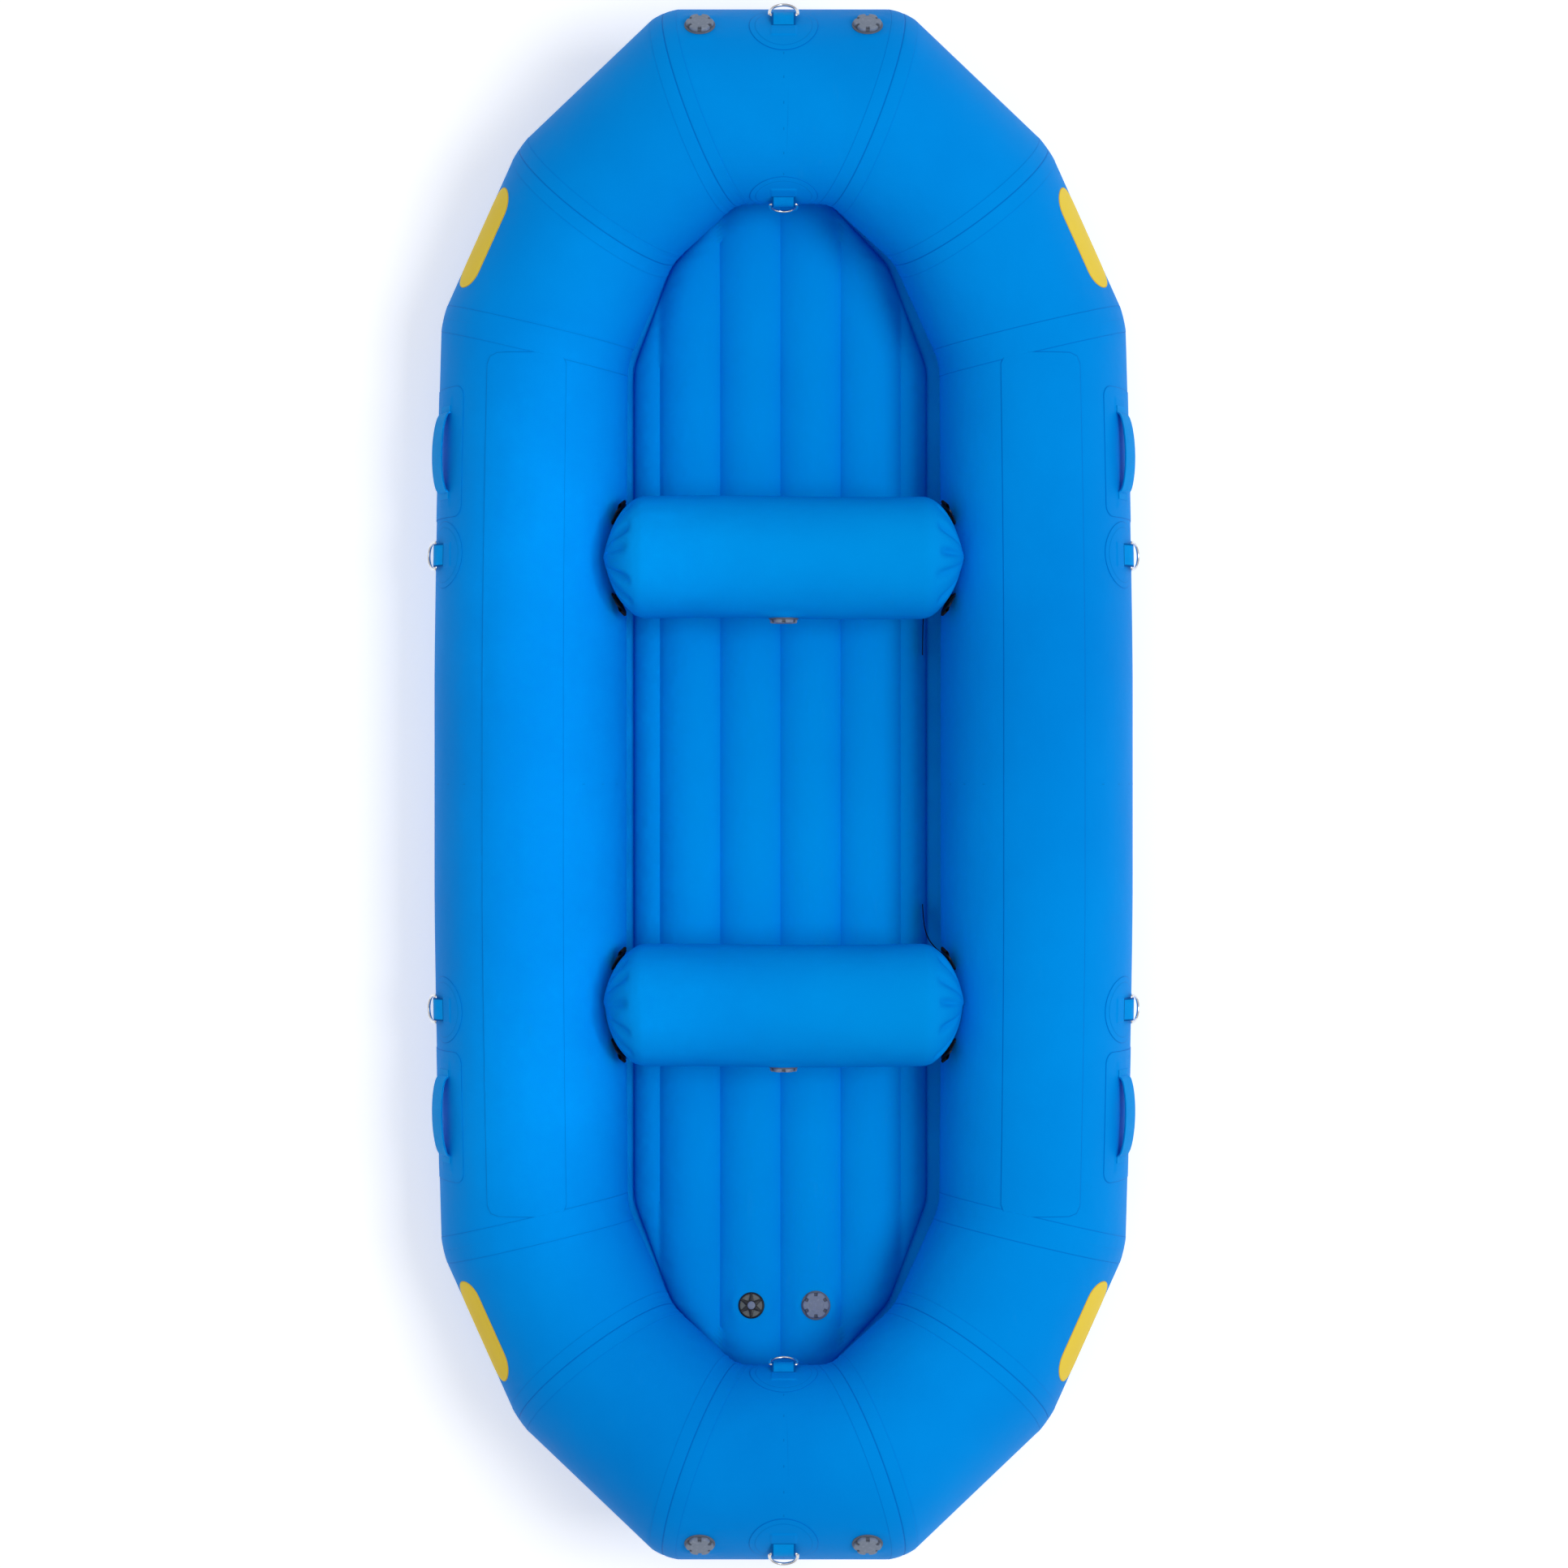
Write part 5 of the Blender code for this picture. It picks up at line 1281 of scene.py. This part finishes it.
def reliefArm(seat, angle):
    # an arm that narrows from hub to ring, with its upper edges bevelled
    point, along, around, outward = seat
    hub, ring = reliefShape["hub"], reliefShape["ringInner"]
    spoke = np.cos(angle) * along + np.sin(angle) * around
    path = point + outward * reliefShape["armLift"] + np.linspace(hub - 0.002, ring + 0.002, 9)[:, None] * spoke
    width = np.linspace(reliefShape["armHub"], reliefShape["armRim"], 9)[:, None, None]
    box = np.array([(1, -1), (1, 0.6), (0.75, 1), (-0.75, 1), (-1, 0.6), (-1, -1)])
    rows = path[:, None] + box[:, :1] * width * np.cross(outward, spoke) \
        + box[:, 1:] * reliefShape["armThick"] * outward
    return grid(closedEnds(rows), wrapColumns=True, radius=0.02)


def makeReliefValve(seat):
    # a black ring and arms over a paler membrane, with the pale button of the sprung plunger
    rimOut, top, ring = reliefShape["rim"], bodyShape["thickness"], reliefShape["ringInner"]
    barrel, depth = bodyShape["barrel"], bodyShape["depth"]
    rim = np.array([
        (ring, 0.0006), (ring + 0.0003, top + 0.0010), (ring + 0.0010, top + 0.0016), (rimOut - 0.0016, top + 0.0012),
        (rimOut - 0.0005, top), (rimOut, top - 0.001), (rimOut, 0.0002), (rimOut - 0.001, -0.0006),
        (barrel + 0.001, -0.0006), (barrel, -0.002), (barrel, -depth), (barrel - 0.0018, -depth),
        (barrel - 0.0018, -0.003), (ring, -0.002), (ring, 0.0006),
    ])
    hub, cup, hole = reliefShape["hub"], reliefShape["cup"], reliefShape["hole"]
    middle = np.array([(hole, top), (cup, top), (cup + 0.0004, top + 0.0016), (hub - 0.0005, top + 0.0018),
                       (hub, top + 0.0010), (hub, 0.0008), (hole, 0.0008), (hole, top)])
    arms = [reliefArm(seat, 2 * math.pi * (k + 0.5) / reliefShape["arms"]) for k in range(reliefShape["arms"])]
    makePiece("reliefBody", [turned(seat, rim), turned(seat, middle, 48), *arms], reliefPlastic,
              stands=["relief_valve_body"])
    disc = np.array([(hole, 0.0004), (0.012, 0.0005), (ring - 0.002, 0.0002), (ring + 0.0003, -0.0004),
                     (ring, -0.0016), (hole, -0.0016), (hole, 0.0004)])
    makePiece("reliefMembrane", [turned(seat, disc, 48)], membranePlastic)
    button, low, high = reliefShape["button"], reliefShape["buttonBase"], reliefShape["buttonTop"]
    stem = reliefShape["stem"]
    shape = np.array([(0, high), (button * 0.55, high - 0.0001), (button - 0.0012, high - 0.0004),
                      (button, high - 0.0014), (button, low), (stem, low), (stem, 0.0012), (0, 0.0012)])
    makePiece("reliefButton", [turned(seat, shape, 48)], capPlastic, body="relief_plunger",
              stands=["relief_valve_plunger"])


for endName in ends:
    for sideName in sides:
        makeValve(f"valve{endName}{sideName}", nodeName(endName, sideName), tubeValves[endName + sideName])
makeValve("valveFloor", "floor", floorValves["inflate"])
for name, seat in thwartValves.items():
    makeValve("valveThwart" + name, nodeName("thwart", name), seat)
makeReliefValve(floorValves["relief"])
print("valves ready")


# stage, lights and camera

def makeStage():
    # a wide sheet of white studio paper that glows a little
    size = studio["stageHalf"]
    mesh = bpy.data.meshes.new("studioFloor")
    mesh.from_pydata([(-size, -size, 0), (size, -size, 0), (size, size, 0), (-size, size, 0)], [], [(0, 1, 2, 3)])
    g = Graph("studioPaper")
    speck = g.noise(400.0, 2.0)
    dull, pale = ((tone, tone, tone, 1) for tone in (studio["floorTone"], studio["floorTone"] + 0.01))
    mesh.materials.append(g.finish(Base_Color=g.colour(speck, dull, pale), Roughness=0.9,
                                   Emission_Color=(1, 1, 1, 1), Emission_Strength=studio["floorGlow"]))
    plane = bpy.data.objects.new("studioFloor", mesh)
    bpy.context.scene.collection.objects.link(plane)


def makeLights():
    # a soft white world and area lamps, each turned towards its aim, or else the middle of the raft
    world = bpy.data.worlds.new("studio")
    world.use_nodes = True
    sky = world.node_tree.nodes["Background"]
    sky.inputs["Color"].default_value = (1, 1, 1, 1)
    sky.inputs["Strength"].default_value = studio["worldStrength"]
    bpy.context.scene.world = world
    for name, look in studio["lamps"].items():
        lamp = bpy.data.lights.new(name, "AREA")
        lamp.shape = "RECTANGLE"
        lamp.energy, lamp.size, lamp.size_y = look["power"], look.get("long", look["size"]), look["size"]
        lamp.spread = math.radians(look.get("spread", 180))
        made = bpy.data.objects.new(name, lamp)
        made.location = look["place"]
        made.visible_camera = False
        x, y, z = np.array(look["place"]) - look.get("aim", (0, 0, 0))
        made.rotation_euler = (math.atan2(math.hypot(x, y), z), 0, math.atan2(-y, -x) - math.pi / 2)
        bpy.context.scene.collection.objects.link(made)


def makeCamera():
    lens = bpy.data.cameras.new("camera")
    # straight above the raft, with the picture shifted by half a pixel of the photo
    lens.sensor_width = studio["sensor"]
    lens.lens = studio["focalPixels"] / studio["photoPixels"] * studio["sensor"]
    lens.shift_x = lens.shift_y = 0.5 / studio["photoPixels"]
    camera = bpy.data.objects.new("camera", lens)
    camera.location = (0, 0, studio["cameraHeight"])
    bpy.context.scene.collection.objects.link(camera)
    bpy.context.scene.camera = camera


makeStage()
makeLights()
makeCamera()
bpy.context.scene.view_settings.view_transform = "Standard"
print("stage ready")
